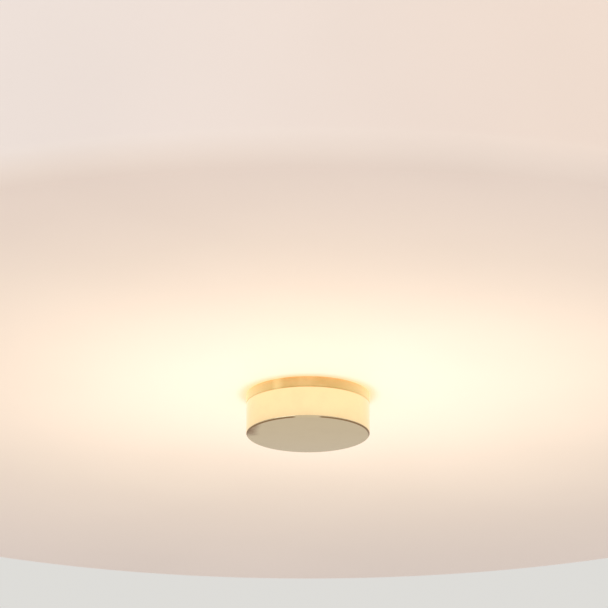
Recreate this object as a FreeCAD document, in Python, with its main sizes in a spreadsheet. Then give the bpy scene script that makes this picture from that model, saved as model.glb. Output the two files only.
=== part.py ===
import FreeCAD, Part

import math
import os
import re

import Sketcher

# Flush mount ceiling light: an opal glass drum held up against a pressed steel pan by a brass finial,
# which screws on to a rod through the middle of the glass. Two E27 lamps lie side by side under the pan.
#
# Frame: millimetres, +Z up, origin on the ceiling plane at the middle of the pan, so all of it hangs below
# z = 0. The lamps' own frame has +X along the lamp from its cap to its globe, and z = 0 on its axis.

SIZES = {
    "running_gap": 0.3,  # round the rod in its holes, the bush in the glass and each bulb's cap in its shell
    # ceiling pan, pressed from one sheet
    "pan_sheet": 1.2,
    "well_radius": 30.0,  # flat floor of the central well
    "well_depth": 12.0,
    "well_slope": 8.0,  # how far the well's wall leans out
    "swage_inner_radius": 62.0,  # the pressed ring that carries brackets and wiring
    "swage_outer_radius": 146.0,
    "swage_depth": 5.0,
    "swage_slope": 4.0,
    "rim_depth": 18.0,
    "rim_gap": 2.8,  # between the rim and the glass
    "rim_bevel": 2.5,
    "hem_width": 4.0,
    "hem_thickness": 1.4,
    "slot_spacing": 340.0,  # ceiling screws
    "slot_length": 12.0,
    "slot_width": 5.5,
    # seal and glass
    "seal_thickness": 2.0,
    "seal_width": 5.0,
    "glass_radius": 200.0,
    "glass_height": 104.0,
    "glass_wall": 4.0,
    "glass_corner": 8.0,
    "bush_flange_radius": 12.0,
    "bush_flange_thickness": 1.2,
    "bush_wall": 1.6,
    # rod, nuts and finial
    "rod_radius": 5.0,
    "rod_top_drop": 3.0,  # from the ceiling to the rod's upper end
    "rod_chamfer": 0.6,
    "rod_engagement": 6.0,  # thread inside the finial
    "rod_nut_flats": 14.0,
    "rod_nut_height": 5.0,
    "rod_washer_radius": 10.0,
    "rod_washer_thickness": 1.0,
    "finial_radius": 17.5,
    "finial_height": 9.0,
    "finial_chamfer": 0.5,
    "finial_thread_gap": 0.03,
    "finial_end_gap": 1.2,  # past the rod's end in the blind thread
    "tint_thickness": 3.0,  # the amber washer
    # lamps and lampholders
    "lamp_spacing": 120.0,
    "lamp_drop": 45.0,  # from the ceiling to the lamps' axes
    "holder_back": -92.0,  # along the lamp's axis from the middle of the pan
    "holder_length": 42.0,
    "collar_radius": 23.0,
    "collar_length": 16.0,
    "collar_chamfer": 1.5,
    "barrel_radius": 20.5,
    "bore_depth": 30.0,
    "shell_wall": 0.8,
    "shell_setback": 2.0,  # from the lampholder's mouth
    "shell_floor_radius": 9.0,  # opening in the shell's floor
    "wiring_slot_length": 15.0,
    "wiring_slot_width": 3.0,
    "wiring_slot_offset": 6.0,
    "wiring_slot_floor": 16.5,  # above the lamp's axis
    "spring_width": 6.0,
    "spring_length": 16.0,
    "spring_thickness": 0.7,
    "cap_radius": 13.2,
    "cap_length": 25.0,
    "cap_setback": 6.0,  # from the floor of the bore to the cap
    "insulator_base_radius": 11.0,
    "insulator_length": 3.4,
    "tip_radius": 4.8,
    "globe_radius": 30.0,
    "globe_reach": 105.0,  # from the floor of the bore to the globe's end
    "neck_radius": 12.6,
    # brackets and their screws
    "bracket_width": 30.0,
    "bracket_sheet": 1.5,
    "bracket_foot": 25.0,
    "bracket_below_axis": 14.0,
    "bracket_corner": 5.0,
    "pan_screw_radius": 2.0,
    "pan_screw_length": 6.0,
    "pan_screw_head_radius": 4.0,
    "pan_screw_head_height": 2.6,
    "foot_screw_spacing": 16.0,
    "holder_screw_radius": 1.5,
    "holder_screw_length": 9.5,
    "holder_screw_head_radius": 2.8,
    "holder_screw_head_height": 2.2,
    "holder_screw_spacing": 21.0,
    "screw_gap": 0.2,  # round a screw in its hole
    # terminal block and earth
    "block_width": 17.0,
    "block_length": 30.0,
    "block_height": 9.0,
    "block_centre": -112.0,
    "pole_pitch": 9.0,
    "tower_side": 5.0,
    "tower_spacing": 10.0,
    "tower_height": 5.0,
    "block_screw_length": 12.0,
    "terminal_drop": 5.4,  # from the pan to the line of the leads
    "insert_side": 4.4,
    "insert_length": 15.0,
    "insert_bore_radius": 1.0,
    "earth_screw_across": 32.0,
    "earth_screw_along": -121.0,
    "tag_radius": 4.0,
    "tag_thickness": 1.0,
    "tag_length": 9.0,
    # leads, their clips and the cable's grommet
    "lead_flats": 2.4,
    "lead_pitch": 4.0,
    "first_lead_along": -88.0,
    "clip_across": 22.0,
    "clip_width": 6.0,
    "clip_length": 12.0,
    "clip_below_leads": 2.6,
    "clip_stud_radius": 2.0,
    "clip_stud_length": 2.8,
    "clip_channel_gap": 0.2,
    "grommet_across": -24.0,
    "grommet_bore_radius": 4.5,
    "grommet_wall": 1.5,
    "grommet_lip": 1.5,
}

GLOBE_FACETS = 6  # straight steps round the globe's profile, from its end to its neck
POLES = 3
LAMP_SIDES = {1: 1, 2: -1}  # lamp number, and which side of the middle it lies on
LEAD_SIDES = 8  # flats round a lead
BEND_SHARE = 0.45  # of the shorter run beside a bend, which its arc may use
SAME_PLACE = 1e-6  # mm, and also the most that two parallel directions differ
ON_EDGE = 1e-4  # mm from a point to the edge that it lies on

# Levels, radii and places that more than one piece shares
LAND_FACE = "-pan_sheet"
GLASS_TOP = "(-pan_sheet - seal_thickness)"
GLASS_BOTTOM = f"({GLASS_TOP} - glass_height)"
FINIAL_TOP = f"({GLASS_BOTTOM} - tint_thickness)"
ROD_END = f"({FINIAL_TOP} - rod_engagement)"
WELL_FACE = "(-well_depth - pan_sheet)"
SWAGE_TOP = "-swage_depth"
SWAGE_FACE = "(-swage_depth - pan_sheet)"
LEAD_LEVEL = f"({SWAGE_FACE} - terminal_drop)"
RIM_RADIUS = "(glass_radius + rim_gap + pan_sheet)"
ROD_HOLE = "(rod_radius + running_gap)"
BUSH_OUTER = "(rod_radius + running_gap + bush_wall)"
HOLDER_MOUTH = "(holder_back + holder_length)"
BORE_FLOOR = f"({HOLDER_MOUTH} - bore_depth)"
SHELL_INNER = "(cap_radius + running_gap)"
SHELL_OUTER = f"({SHELL_INNER} + shell_wall)"
CAP_START = f"({BORE_FLOOR} + cap_setback)"
CAP_END = f"({CAP_START} + cap_length)"
INSULATOR_END = f"({CAP_START} - insulator_length)"
SPRING_FACE = f"({BORE_FLOOR} + 2 * spring_thickness)"
GLOBE_END = f"({BORE_FLOOR} + globe_reach)"
GLOBE_CENTRE = f"({GLOBE_END} - globe_radius)"
FOOT_SCREW_ALONG = "(holder_back - bracket_sheet - bracket_foot / 2)"
PAN_SCREW_HOLE = "(pan_screw_radius + screw_gap)"
BLOCK_SCREW_ALONG = "(block_centre + pole_pitch / 2)"
WIRING_ALONG = "(first_lead_along + lead_pitch * 3 / 2)"
CLIP_ALONG = "(first_lead_along + lead_pitch * 5 / 2)"  # between the two leads that join the lampholders
CLIP_FACE = f"({LEAD_LEVEL} - clip_below_leads)"
SLOT_FLOOR = "(wiring_slot_floor - lamp_drop)"

DOCUMENT = FreeCAD.newDocument("CeilingLight")
SHEET = DOCUMENT.addObject("Spreadsheet::Sheet", "Sizes")
NODES = []


# ---------------------------------------------------------------------------------------------------------
# Sheet, expressions and sketches
# ---------------------------------------------------------------------------------------------------------


def fill_sheet():
    """Write each driving size to the sheet, beside its name."""
    for row, (name, value) in enumerate(SIZES.items(), start=1):
        SHEET.set(f"A{row}", name)
        SHEET.set(f"B{row}", str(value))
        SHEET.setAlias(f"B{row}", name)
    DOCUMENT.recompute()


def cells(expression):
    """Put the sheet's name before each size, which are the words with an underscore."""
    return re.sub(r"[a-z]+(?:_[a-z0-9]+)+", r"Sizes.\g<0>", expression)


def number(expression):
    """The value of an expression of the sheet's sizes."""
    return float(SHEET.evalExpression(cells(expression)))


def bind(item, expressions):
    """Bind properties of an object to expressions of the sheet's sizes."""
    for path, expression in expressions.items():
        item.setExpression(path, cells(expression))
    return item


def node(item, label):
    """Give a finished sub-part its name, and keep it for export."""
    item.Label = label
    NODES.append(item)
    return item


def new_body(label):
    """An empty body whose name is the sub-part's."""
    return node(DOCUMENT.addObject("PartDesign::Body", label), label)


def origin_part(body, role):
    """One of a body's own origin planes or axes."""
    return next(part for part in body.Origin.OriginFeatures if part.Role == role)


def new_sketch(body, plane, name, offset="0"):
    """A sketch on one of the body's origin planes, moved along that plane's normal."""
    sketch = body.newObject("Sketcher::SketchObject", f"{body.Name}_{name}")
    sketch.AttachmentSupport = [(origin_part(body, plane), "")]
    sketch.MapMode = "FlatFace"
    if offset != "0":
        bind(sketch, {"AttachmentOffset.Base.z": offset})
    return sketch


def pin(sketch, item, point, spot):
    """Fix a sketch point at two expressions, or on an axis where one of them is 0."""
    for direction, axis, expression in zip(("DistanceX", "DistanceY"), (-2, -1), spot):
        if expression == "0":
            sketch.addConstraint(Sketcher.Constraint("PointOnObject", item, point, axis))
            continue
        value = number(expression)
        place = sketch.addConstraint(Sketcher.Constraint(direction, -1, 1, item, point, value))
        sketch.setExpression(f"Constraints[{place}]", cells(expression))


def draw_outline(sketch, corners):
    """A closed outline of straight lines, with each corner fixed by two expressions."""
    spots = [FreeCAD.Vector(number(across), number(up), 0) for across, up in corners]
    first = sketch.GeometryCount
    for index, spot in enumerate(spots):
        sketch.addGeometry(Part.LineSegment(spot, spots[(index + 1) % len(spots)]), False)
    for index, corner in enumerate(corners):
        after = first + (index + 1) % len(corners)
        sketch.addConstraint(Sketcher.Constraint("Coincident", first + index, 2, after, 1))
        pin(sketch, first + index, 1, corner)


def draw_box(sketch, low, high):
    """A rectangle between two opposite corners."""
    draw_outline(sketch, [low, (high[0], low[1]), high, (low[0], high[1])])


def draw_circle(sketch, centre, radius):
    """A circle with its centre and radius fixed by expressions."""
    middle = FreeCAD.Vector(number(centre[0]), number(centre[1]), 0)
    item = sketch.addGeometry(Part.Circle(middle, FreeCAD.Vector(0, 0, 1), number(radius)), False)
    place = sketch.addConstraint(Sketcher.Constraint("Radius", item, number(radius)))
    sketch.setExpression(f"Constraints[{place}]", cells(radius))
    pin(sketch, item, 3, centre)


# ---------------------------------------------------------------------------------------------------------
# Features
# ---------------------------------------------------------------------------------------------------------


def revolve(body, corners, axis="V_Axis"):
    """Turn a profile in the XZ plane all the way round one of its sketch axes."""
    sketch = new_sketch(body, "XZ_Plane", "profile")
    draw_outline(sketch, corners)
    turned = body.newObject("PartDesign::Revolution", f"{body.Name}_turned")
    turned.Profile = sketch
    turned.ReferenceAxis = (sketch, [axis])
    turned.Angle = 360
    DOCUMENT.recompute()
    return turned


def revolved(label, corners, axis="V_Axis"):
    """A sub-part that is one turned profile."""
    body = new_body(label)
    revolve(body, corners, axis)
    return body


def pad(body, sketch, length, side="One side", backwards=False):
    """Raise a sketch by a length."""
    raised = body.newObject("PartDesign::Pad", f"{sketch.Name}_pad")
    raised.Profile = sketch
    raised.SideType = side
    raised.Reversed = backwards
    bind(raised, {"Length": length})
    DOCUMENT.recompute()
    return raised


def cut_through(body, sketch):
    """Cut a sketch right through the body, both ways, and make sure that it removes something."""
    before = body.Shape.Volume
    cut = body.newObject("PartDesign::Pocket", f"{sketch.Name}_cut")
    cut.Profile = sketch
    cut.Type = "ThroughAll"
    cut.SideType = "Symmetric"
    DOCUMENT.recompute()
    check_removed(body, cut, before)
    return cut


def cut_blind(body, sketch, depth, backwards=False):
    """Cut a sketch to a depth, and make sure that it removes something."""
    before = body.Shape.Volume
    cut = body.newObject("PartDesign::Pocket", f"{sketch.Name}_cut")
    cut.Profile = sketch
    cut.Reversed = backwards
    bind(cut, {"Length": depth})
    DOCUMENT.recompute()
    check_removed(body, cut, before)
    return cut


def check_removed(body, cut, before):
    """Stop if a cut points away from the solid."""
    if body.Shape.Volume >= before:
        raise RuntimeError(f"{cut.Name} removes nothing")


def repeat_along(body, features, direction, pitch, count):
    """Repeat features along one of the body's axes."""
    row = body.newObject("PartDesign::LinearPattern", f"{body.Name}_row")
    row.Originals = features
    row.Direction = (origin_part(body, direction), [""])
    row.Occurrences = count
    bind(row, {"Length": f"{pitch} * {count - 1}"})
    body.Tip = row
    DOCUMENT.recompute()
    return row


def ring_edges(shape, radius, level):
    """Names of the shape's circles round the Z axis with this radius and height."""
    names = []
    for index, edge in enumerate(shape.Edges, start=1):
        circle = edge.Curve
        if not isinstance(circle, Part.Circle):
            continue
        off_axis = math.hypot(circle.Center.x, circle.Center.y)
        if max(off_axis, abs(circle.Radius - radius), abs(circle.Center.z - level)) < SAME_PLACE:
            names.append(f"Edge{index}")
    return names


def round_ring(body, base, ring, radius):
    """Round one circular edge about the Z axis, given by its radius and height."""
    edges = ring_edges(base.Shape, number(ring[0]), number(ring[1]))
    rounded = body.newObject("PartDesign::Fillet", f"{body.Name}_rounded")
    rounded.Base = (base, edges)
    bind(rounded, {"Radius": radius})
    DOCUMENT.recompute()
    return rounded


def round_upright_corners(body, base, spots, direction, radius):
    """Round the straight edges that run in one direction through the given points."""
    edges = []
    for index, edge in enumerate(base.Shape.Edges, start=1):
        straight = isinstance(edge.Curve, Part.Line)
        along = straight and edge.Curve.Direction.cross(direction).Length < SAME_PLACE
        if along and any(edge.distToShape(Part.Vertex(spot))[0] < ON_EDGE for spot in spots):
            edges.append(f"Edge{index}")
    rounded = body.newObject("PartDesign::Fillet", f"{body.Name}_corners")
    rounded.Base = (base, edges)
    bind(rounded, {"Radius": radius})
    DOCUMENT.recompute()
    return rounded


# ---------------------------------------------------------------------------------------------------------
# Fasteners, each drawn once and repeated by links
# ---------------------------------------------------------------------------------------------------------


def cylinder(name, radius, height, level="0"):
    """A cylinder up the Z axis from a level."""
    item = DOCUMENT.addObject("Part::Cylinder", name)
    return bind(item, {"Radius": radius, "Height": height, "Placement.Base.z": level})


def screw_pattern(name, size, length):
    """A screw that points up, with the underside of its head at z = 0."""
    shank = cylinder(f"{name}_shank", f"{size}_radius", length)
    head = cylinder(f"{name}_head", f"{size}_head_radius", f"{size}_head_height", f"-{size}_head_height")
    screw = DOCUMENT.addObject("Part::MultiFuse", name)
    screw.Shapes = [shank, head]
    return screw


def nut_pattern(name, flats, height, bore):
    """A hexagonal nut that stands on z = 0."""
    block = DOCUMENT.addObject("Part::Prism", f"{name}_block")
    block.Polygon = 6
    bind(block, {"Circumradius": f"{flats} / 2 / cos(30)", "Height": height})
    hole = cylinder(f"{name}_hole", bore, f"3 * {height}", f"-{height}")
    return difference(name, block, hole)


def difference(name, base, tool):
    """One primitive cut from another."""
    item = DOCUMENT.addObject("Part::Cut", name)
    item.Base = base
    item.Tool = tool
    return item


def group(label, pattern, spots, rotation=FreeCAD.Rotation()):
    """Copies of one pattern at places given as three expressions, as separate solids of one sub-part."""
    links = []
    for index, (across, along, up) in enumerate(spots, start=1):
        link = DOCUMENT.addObject("App::Link", f"{label}_{index}")
        link.LinkedObject = pattern
        link.LinkTransform = False
        link.Placement = FreeCAD.Placement(FreeCAD.Vector(), rotation)
        bind(link, {"Placement.Base.x": across, "Placement.Base.y": along, "Placement.Base.z": up})
        links.append(link)
    gathered = node(DOCUMENT.addObject("Part::Compound", label), label)
    gathered.Links = links
    return gathered


# ---------------------------------------------------------------------------------------------------------
# Pan, seal and rod
# ---------------------------------------------------------------------------------------------------------


def bend_shift(depth, run):
    """How far a sheet's bend moves sideways on its far face: thickness times the half turn's tangent."""
    return f"(pan_sheet * {depth} / (sqrt({depth} * {depth} + {run} * {run}) + {run}))"


def pan_profile():
    """The pan's section: along the ceiling side from the middle to the hem, and back along the underside."""
    well = bend_shift("well_depth", "well_slope")
    swage = bend_shift("swage_depth", "swage_slope")
    bevel = bend_shift("rim_bevel", "rim_bevel")
    rim_inner = f"({RIM_RADIUS} - pan_sheet)"
    hem_outer = f"({RIM_RADIUS} + hem_thickness)"
    hem_top = "(hem_width - rim_depth)"
    return [
        (ROD_HOLE, "-well_depth"),
        ("well_radius", "-well_depth"),
        ("(well_radius + well_slope)", "0"),
        ("swage_inner_radius", "0"),
        ("(swage_inner_radius + swage_slope)", SWAGE_TOP),
        ("(swage_outer_radius - swage_slope)", SWAGE_TOP),
        ("swage_outer_radius", "0"),
        (f"({RIM_RADIUS} - rim_bevel)", "0"),
        (RIM_RADIUS, "-rim_bevel"),
        (RIM_RADIUS, hem_top),
        (hem_outer, hem_top),
        (hem_outer, "-rim_depth"),
        (rim_inner, "-rim_depth"),
        (rim_inner, f"(-rim_bevel - {bevel})"),
        (f"({RIM_RADIUS} - rim_bevel - {bevel})", LAND_FACE),
        (f"(swage_outer_radius + {swage})", LAND_FACE),
        (f"(swage_outer_radius - swage_slope + {swage})", SWAGE_FACE),
        (f"(swage_inner_radius + swage_slope - {swage})", SWAGE_FACE),
        (f"(swage_inner_radius - {swage})", LAND_FACE),
        (f"(well_radius + well_slope + {well})", LAND_FACE),
        (f"(well_radius + {well})", WELL_FACE),
        (ROD_HOLE, WELL_FACE),
    ]


def foot_screw_spots():
    """Plan positions of the two screws in each bracket's foot."""
    spots = []
    for side in LAMP_SIDES.values():
        for way in (1, -1):
            across = f"(lamp_spacing / 2 * {side} + foot_screw_spacing / 2 * {way})"
            spots.append((across, FOOT_SCREW_ALONG))
    return spots


def draw_slot(sketch, centre):
    """A slot with round ends along X, centred on a point of the X axis."""
    radius = number("slot_width / 2")
    ends = [f"({centre} - (slot_length - slot_width) / 2)", f"({centre} + (slot_length - slot_width) / 2)"]
    arcs, lines = [], []
    for end, start_angle in zip(ends, (math.pi / 2, -math.pi / 2)):
        circle = Part.Circle(FreeCAD.Vector(number(end), 0, 0), FreeCAD.Vector(0, 0, 1), radius)
        arc = sketch.addGeometry(Part.ArcOfCircle(circle, start_angle, start_angle + math.pi), False)
        place = sketch.addConstraint(Sketcher.Constraint("Radius", arc, radius))
        sketch.setExpression(f"Constraints[{place}]", cells("slot_width / 2"))
        pin(sketch, arc, 3, (end, "0"))
        arcs.append(arc)
    for side, leaving in ((-1, 0), (1, 1)):
        spots = [FreeCAD.Vector(number(end), side * radius, 0) for end in (ends[leaving], ends[1 - leaving])]
        lines.append(sketch.addGeometry(Part.LineSegment(*spots), False))
    for index, line in enumerate(lines):
        sketch.addConstraint(Sketcher.Constraint("Tangent", arcs[index], 2, line, 1))
        sketch.addConstraint(Sketcher.Constraint("Tangent", line, 2, arcs[1 - index], 1))


def make_pan():
    """The pan, with its ceiling slots and the holes for what it carries."""
    body = new_body("ceiling_pan")
    revolve(body, pan_profile())
    slots = new_sketch(body, "XY_Plane", "slots")
    for side in (1, -1):
        draw_slot(slots, f"slot_spacing / 2 * {side}")
    cut_through(body, slots)
    holes = new_sketch(body, "XY_Plane", "holes")
    for spot in foot_screw_spots() + [("earth_screw_across", "earth_screw_along")]:
        draw_circle(holes, spot, "pan_screw_radius")
    draw_circle(holes, ("0", BLOCK_SCREW_ALONG), "holder_screw_radius")
    draw_circle(holes, ("grommet_across", "block_centre"), "(grommet_bore_radius + grommet_wall)")
    for side in (1, -1):
        draw_circle(holes, (f"(clip_across * {side})", CLIP_ALONG), "clip_stud_radius")
    cut_through(body, holes)
    return body


def make_seal():
    """Foam ring on the pan's outer land, over the top edge of the glass."""
    middle = "(glass_radius - glass_wall / 2)"
    inner = f"({middle} - seal_width / 2)"
    outer = f"({middle} + seal_width / 2)"
    return revolved("rim_seal", [(inner, GLASS_TOP), (outer, GLASS_TOP), (outer, LAND_FACE), (inner, LAND_FACE)])


def make_rod():
    """Rod from above the well down into the finial."""
    top = "-rod_top_drop"
    neck = "(rod_radius - rod_chamfer)"
    corners = [
        ("0", ROD_END),
        (neck, ROD_END),
        ("rod_radius", f"({ROD_END} + rod_chamfer)"),
        ("rod_radius", f"({top} - rod_chamfer)"),
        (neck, top),
        ("0", top),
    ]
    return revolved("centre_rod", corners)


def make_rod_fixings():
    """Washer and nut on each side of the well's floor."""
    disc = cylinder("rod_washer_disc", "rod_washer_radius", "rod_washer_thickness")
    hole = cylinder("rod_washer_hole", ROD_HOLE, "3 * rod_washer_thickness", "-rod_washer_thickness")
    washer = difference("rod_washer_pattern", disc, hole)
    lower_washer = f"({WELL_FACE} - rod_washer_thickness)"
    group("rod_washers", washer, [("0", "0", "-well_depth"), ("0", "0", lower_washer)])
    nut = nut_pattern("rod_nut_pattern", "rod_nut_flats", "rod_nut_height", "rod_radius")
    upper_nut = "(-well_depth + rod_washer_thickness)"
    lower_nut = f"({lower_washer} - rod_nut_height)"
    group("rod_nuts", nut, [("0", "0", upper_nut), ("0", "0", lower_nut)])


# ---------------------------------------------------------------------------------------------------------
# Glass and finial
# ---------------------------------------------------------------------------------------------------------


def make_glass():
    """Opal drum, open at the top, with a rounded lower corner and a hole for the bush."""
    body = new_body("glass_shade")
    inside = "(glass_radius - glass_wall)"
    floor = f"({GLASS_BOTTOM} + glass_wall)"
    hole = f"({BUSH_OUTER} + running_gap)"
    inner_corner = "(glass_corner - glass_wall)"
    drum = revolve(
        body,
        [
            (hole, GLASS_BOTTOM),
            ("glass_radius", GLASS_BOTTOM),
            ("glass_radius", GLASS_TOP),
            (inside, GLASS_TOP),
            (inside, f"({floor} + {inner_corner})"),
            (f"({inside} - {inner_corner})", floor),
            (hole, floor),
        ],
    )
    round_ring(body, drum, ("glass_radius", GLASS_BOTTOM), "glass_corner")
    return body


def make_bush():
    """Flanged plastic bush in the hole of the glass."""
    floor = f"({GLASS_BOTTOM} + glass_wall)"
    flange = f"({floor} + bush_flange_thickness)"
    corners = [
        (ROD_HOLE, GLASS_BOTTOM),
        (BUSH_OUTER, GLASS_BOTTOM),
        (BUSH_OUTER, floor),
        ("bush_flange_radius", floor),
        ("bush_flange_radius", flange),
        (ROD_HOLE, flange),
    ]
    return revolved("glass_bush", corners)


def make_tint():
    """Amber washer between the glass and the finial."""
    corners = [
        (ROD_HOLE, FINIAL_TOP),
        ("finial_radius", FINIAL_TOP),
        ("finial_radius", GLASS_BOTTOM),
        (ROD_HOLE, GLASS_BOTTOM),
    ]
    return revolved("finial_washer", corners)


def make_finial():
    """Brass disc with a blind threaded bore and a softened lower edge."""
    bottom = f"({FINIAL_TOP} - finial_height)"
    bore = "(rod_radius + finial_thread_gap)"
    bore_end = f"({ROD_END} - finial_end_gap)"
    edge = "(finial_radius - finial_chamfer)"
    corners = [
        ("0", bottom),
        (edge, bottom),
        ("finial_radius", f"({bottom} + finial_chamfer)"),
        ("finial_radius", FINIAL_TOP),
        (bore, FINIAL_TOP),
        (bore, bore_end),
        ("0", bore_end),
    ]
    return revolved("finial", corners)


# ---------------------------------------------------------------------------------------------------------
# Lamps
# ---------------------------------------------------------------------------------------------------------


def place_on_lamp(item, side):
    """Move a piece from the lamp's own frame to one of the two lamps, which both point along +Y."""
    item.Placement = FreeCAD.Placement(FreeCAD.Vector(), FreeCAD.Rotation(FreeCAD.Vector(0, 0, 1), 90))
    return bind(item, {"Placement.Base.x": f"lamp_spacing / 2 * {side}", "Placement.Base.z": "-lamp_drop"})


def make_lampholder(label):
    """Porcelain lampholder: a collar, a thinner barrel, the bore and two wiring slots on top."""
    body = new_body(label)
    collar_start = f"({HOLDER_MOUTH} - collar_length)"
    corners = [
        ("holder_back", "0"),
        ("holder_back", "barrel_radius"),
        (collar_start, "barrel_radius"),
        (collar_start, "collar_radius"),
        (f"({HOLDER_MOUTH} - collar_chamfer)", "collar_radius"),
        (HOLDER_MOUTH, "(collar_radius - collar_chamfer)"),
        (HOLDER_MOUTH, SHELL_OUTER),
        (BORE_FLOOR, SHELL_OUTER),
        (BORE_FLOOR, "0"),
    ]
    revolve(body, corners, "H_Axis")
    slots = new_sketch(body, "XY_Plane", "wiring", "wiring_slot_floor")
    for way in (1, -1):
        low = (
            f"({WIRING_ALONG} - wiring_slot_length / 2)",
            f"(wiring_slot_offset * {way} - wiring_slot_width / 2)",
        )
        high = (
            f"({WIRING_ALONG} + wiring_slot_length / 2)",
            f"(wiring_slot_offset * {way} + wiring_slot_width / 2)",
        )
        draw_box(slots, low, high)
    cut_blind(body, slots, "collar_radius", backwards=True)
    screws = new_sketch(body, "YZ_Plane", "screws", "holder_back")
    for way in (1, -1):
        draw_circle(screws, (f"(holder_screw_spacing / 2 * {way})", "0"), "holder_screw_radius")
    cut_blind(body, screws, "(holder_screw_length - bracket_sheet)", backwards=True)
    return body


def make_screw_shell(label):
    """Brass shell that lines the lampholder's bore, with an open floor."""
    front = f"({HOLDER_MOUTH} - shell_setback)"
    floor = f"({BORE_FLOOR} + shell_wall)"
    corners = [
        (BORE_FLOOR, "shell_floor_radius"),
        (BORE_FLOOR, SHELL_OUTER),
        (front, SHELL_OUTER),
        (front, SHELL_INNER),
        (floor, SHELL_INNER),
        (floor, "shell_floor_radius"),
    ]
    return revolved(label, corners, "H_Axis")


def make_contact_spring(label):
    """Flat centre contact with a raised pad that meets the bulb."""
    body = new_body(label)
    strip = new_sketch(body, "YZ_Plane", "strip", BORE_FLOOR)
    half_width = "spring_width / 2"
    half_length = "spring_length / 2"
    draw_box(strip, (f"(-{half_width})", f"(-{half_length})"), (f"({half_width})", f"({half_length})"))
    pad(body, strip, "spring_thickness")
    raised = new_sketch(body, "YZ_Plane", "raised", f"({BORE_FLOOR} + spring_thickness)")
    draw_box(raised, (f"(-{half_width})", f"(-{half_width})"), (f"({half_width})", f"({half_width})"))
    pad(body, raised, "spring_thickness")
    return body


def make_bracket(label):
    """Bent steel angle: its foot lies under the pan, and its leg backs the lampholder."""
    body = new_body(label)
    inner = "(holder_back - bracket_sheet)"
    foot_end = f"({inner} - bracket_foot)"
    top = f"({SWAGE_FACE} + lamp_drop)"
    foot_face = f"({top} - bracket_sheet)"
    end = "(-bracket_below_axis)"
    section = new_sketch(body, "XZ_Plane", "section")
    draw_outline(
        section,
        [
            (foot_end, top),
            ("holder_back", top),
            ("holder_back", end),
            (inner, end),
            (inner, foot_face),
            (foot_end, foot_face),
        ],
    )
    angle = pad(body, section, "bracket_width", "Symmetric")
    half = number("bracket_width") / 2
    ends = [FreeCAD.Vector(number(inner), way * half, number(end)) for way in (1, -1)]
    round_upright_corners(body, angle, ends, FreeCAD.Vector(1, 0, 0), "bracket_corner")
    foot_holes = new_sketch(body, "XY_Plane", "foot_holes", foot_face)
    for way in (1, -1):
        draw_circle(foot_holes, (FOOT_SCREW_ALONG, f"(foot_screw_spacing / 2 * {way})"), PAN_SCREW_HOLE)
    cut_through(body, foot_holes)
    leg_holes = new_sketch(body, "YZ_Plane", "leg_holes", "holder_back")
    radius = "(holder_screw_radius + screw_gap)"
    for way in (1, -1):
        draw_circle(leg_holes, (f"(holder_screw_spacing / 2 * {way})", "0"), radius)
    cut_through(body, leg_holes)
    return body


def globe_profile():
    """The globe's section: equal steps round a circle, then a straight taper to the neck."""
    reach = number(f"{GLOBE_CENTRE} - {CAP_END}")
    neck = number("neck_radius")
    away = math.hypot(reach, neck)
    tangent = 180 - math.degrees(math.atan2(neck, reach) + math.acos(number("globe_radius") / away))
    corners = [(GLOBE_END, "0")]
    for step in range(1, GLOBE_FACETS + 1):
        turn = round(tangent * step / GLOBE_FACETS, 4)
        along = f"({GLOBE_CENTRE} + globe_radius * cos({turn}))"
        out = f"(globe_radius * sin({turn}))"
        corners.append((along, out))
    return corners + [(CAP_END, "neck_radius"), (CAP_END, "0")]


def make_bulb(count):
    """Globe, screw cap, insulator and centre contact of one bulb."""
    cap = [(CAP_START, "0"), (CAP_START, "cap_radius"), (CAP_END, "cap_radius"), (CAP_END, "0")]
    insulator = [
        (INSULATOR_END, "0"),
        (INSULATOR_END, "tip_radius"),
        (CAP_START, "insulator_base_radius"),
        (CAP_START, "0"),
    ]
    tip = [(SPRING_FACE, "0"), (SPRING_FACE, "tip_radius"), (INSULATOR_END, "tip_radius"), (INSULATOR_END, "0")]
    return [
        revolved(f"bulb_globe_{count}", globe_profile(), "H_Axis"),
        revolved(f"bulb_cap_{count}", cap, "H_Axis"),
        revolved(f"bulb_insulator_{count}", insulator, "H_Axis"),
        revolved(f"bulb_contact_{count}", tip, "H_Axis"),
    ]


def make_lamps():
    """Both lamps, each with its lampholder, bracket and bulb."""
    for count, side in LAMP_SIDES.items():
        fixed = [
            make_lampholder(f"lampholder_{count}"),
            make_screw_shell(f"screw_shell_{count}"),
            make_contact_spring(f"contact_spring_{count}"),
            make_bracket(f"holder_bracket_{count}"),
        ]
        for piece in fixed + make_bulb(count):
            place_on_lamp(piece, side)


def make_holder_screws():
    """Two screws through each bracket's leg into the back of the porcelain."""
    screw = screw_pattern("holder_screw_pattern", "holder_screw", "holder_screw_length")
    spots = []
    for side in LAMP_SIDES.values():
        for way in (1, -1):
            across = f"(lamp_spacing / 2 * {side} + holder_screw_spacing / 2 * {way})"
            spots.append((across, "(holder_back - bracket_sheet)", "-lamp_drop"))
    forwards = FreeCAD.Rotation(FreeCAD.Vector(1, 0, 0), -90)
    group("holder_screws", screw, spots, forwards)


def make_pan_screws():
    """Screws up through the brackets' feet and the earth tag into the raised ring."""
    screw = screw_pattern("pan_screw_pattern", "pan_screw", "pan_screw_length")
    under_foot = f"({SWAGE_FACE} - bracket_sheet)"
    under_tag = f"({SWAGE_FACE} - tag_thickness)"
    spots = [(across, along, under_foot) for across, along in foot_screw_spots()]
    group("pan_screws", screw, spots + [("earth_screw_across", "earth_screw_along", under_tag)])


# ---------------------------------------------------------------------------------------------------------
# Wiring
# ---------------------------------------------------------------------------------------------------------

def pole_along(index):
    """Where a pole of the terminal block lies along Y: 0 is live, 1 is neutral and 2 is earth."""
    return f"(block_centre + pole_pitch * {1 - index})"


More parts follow.
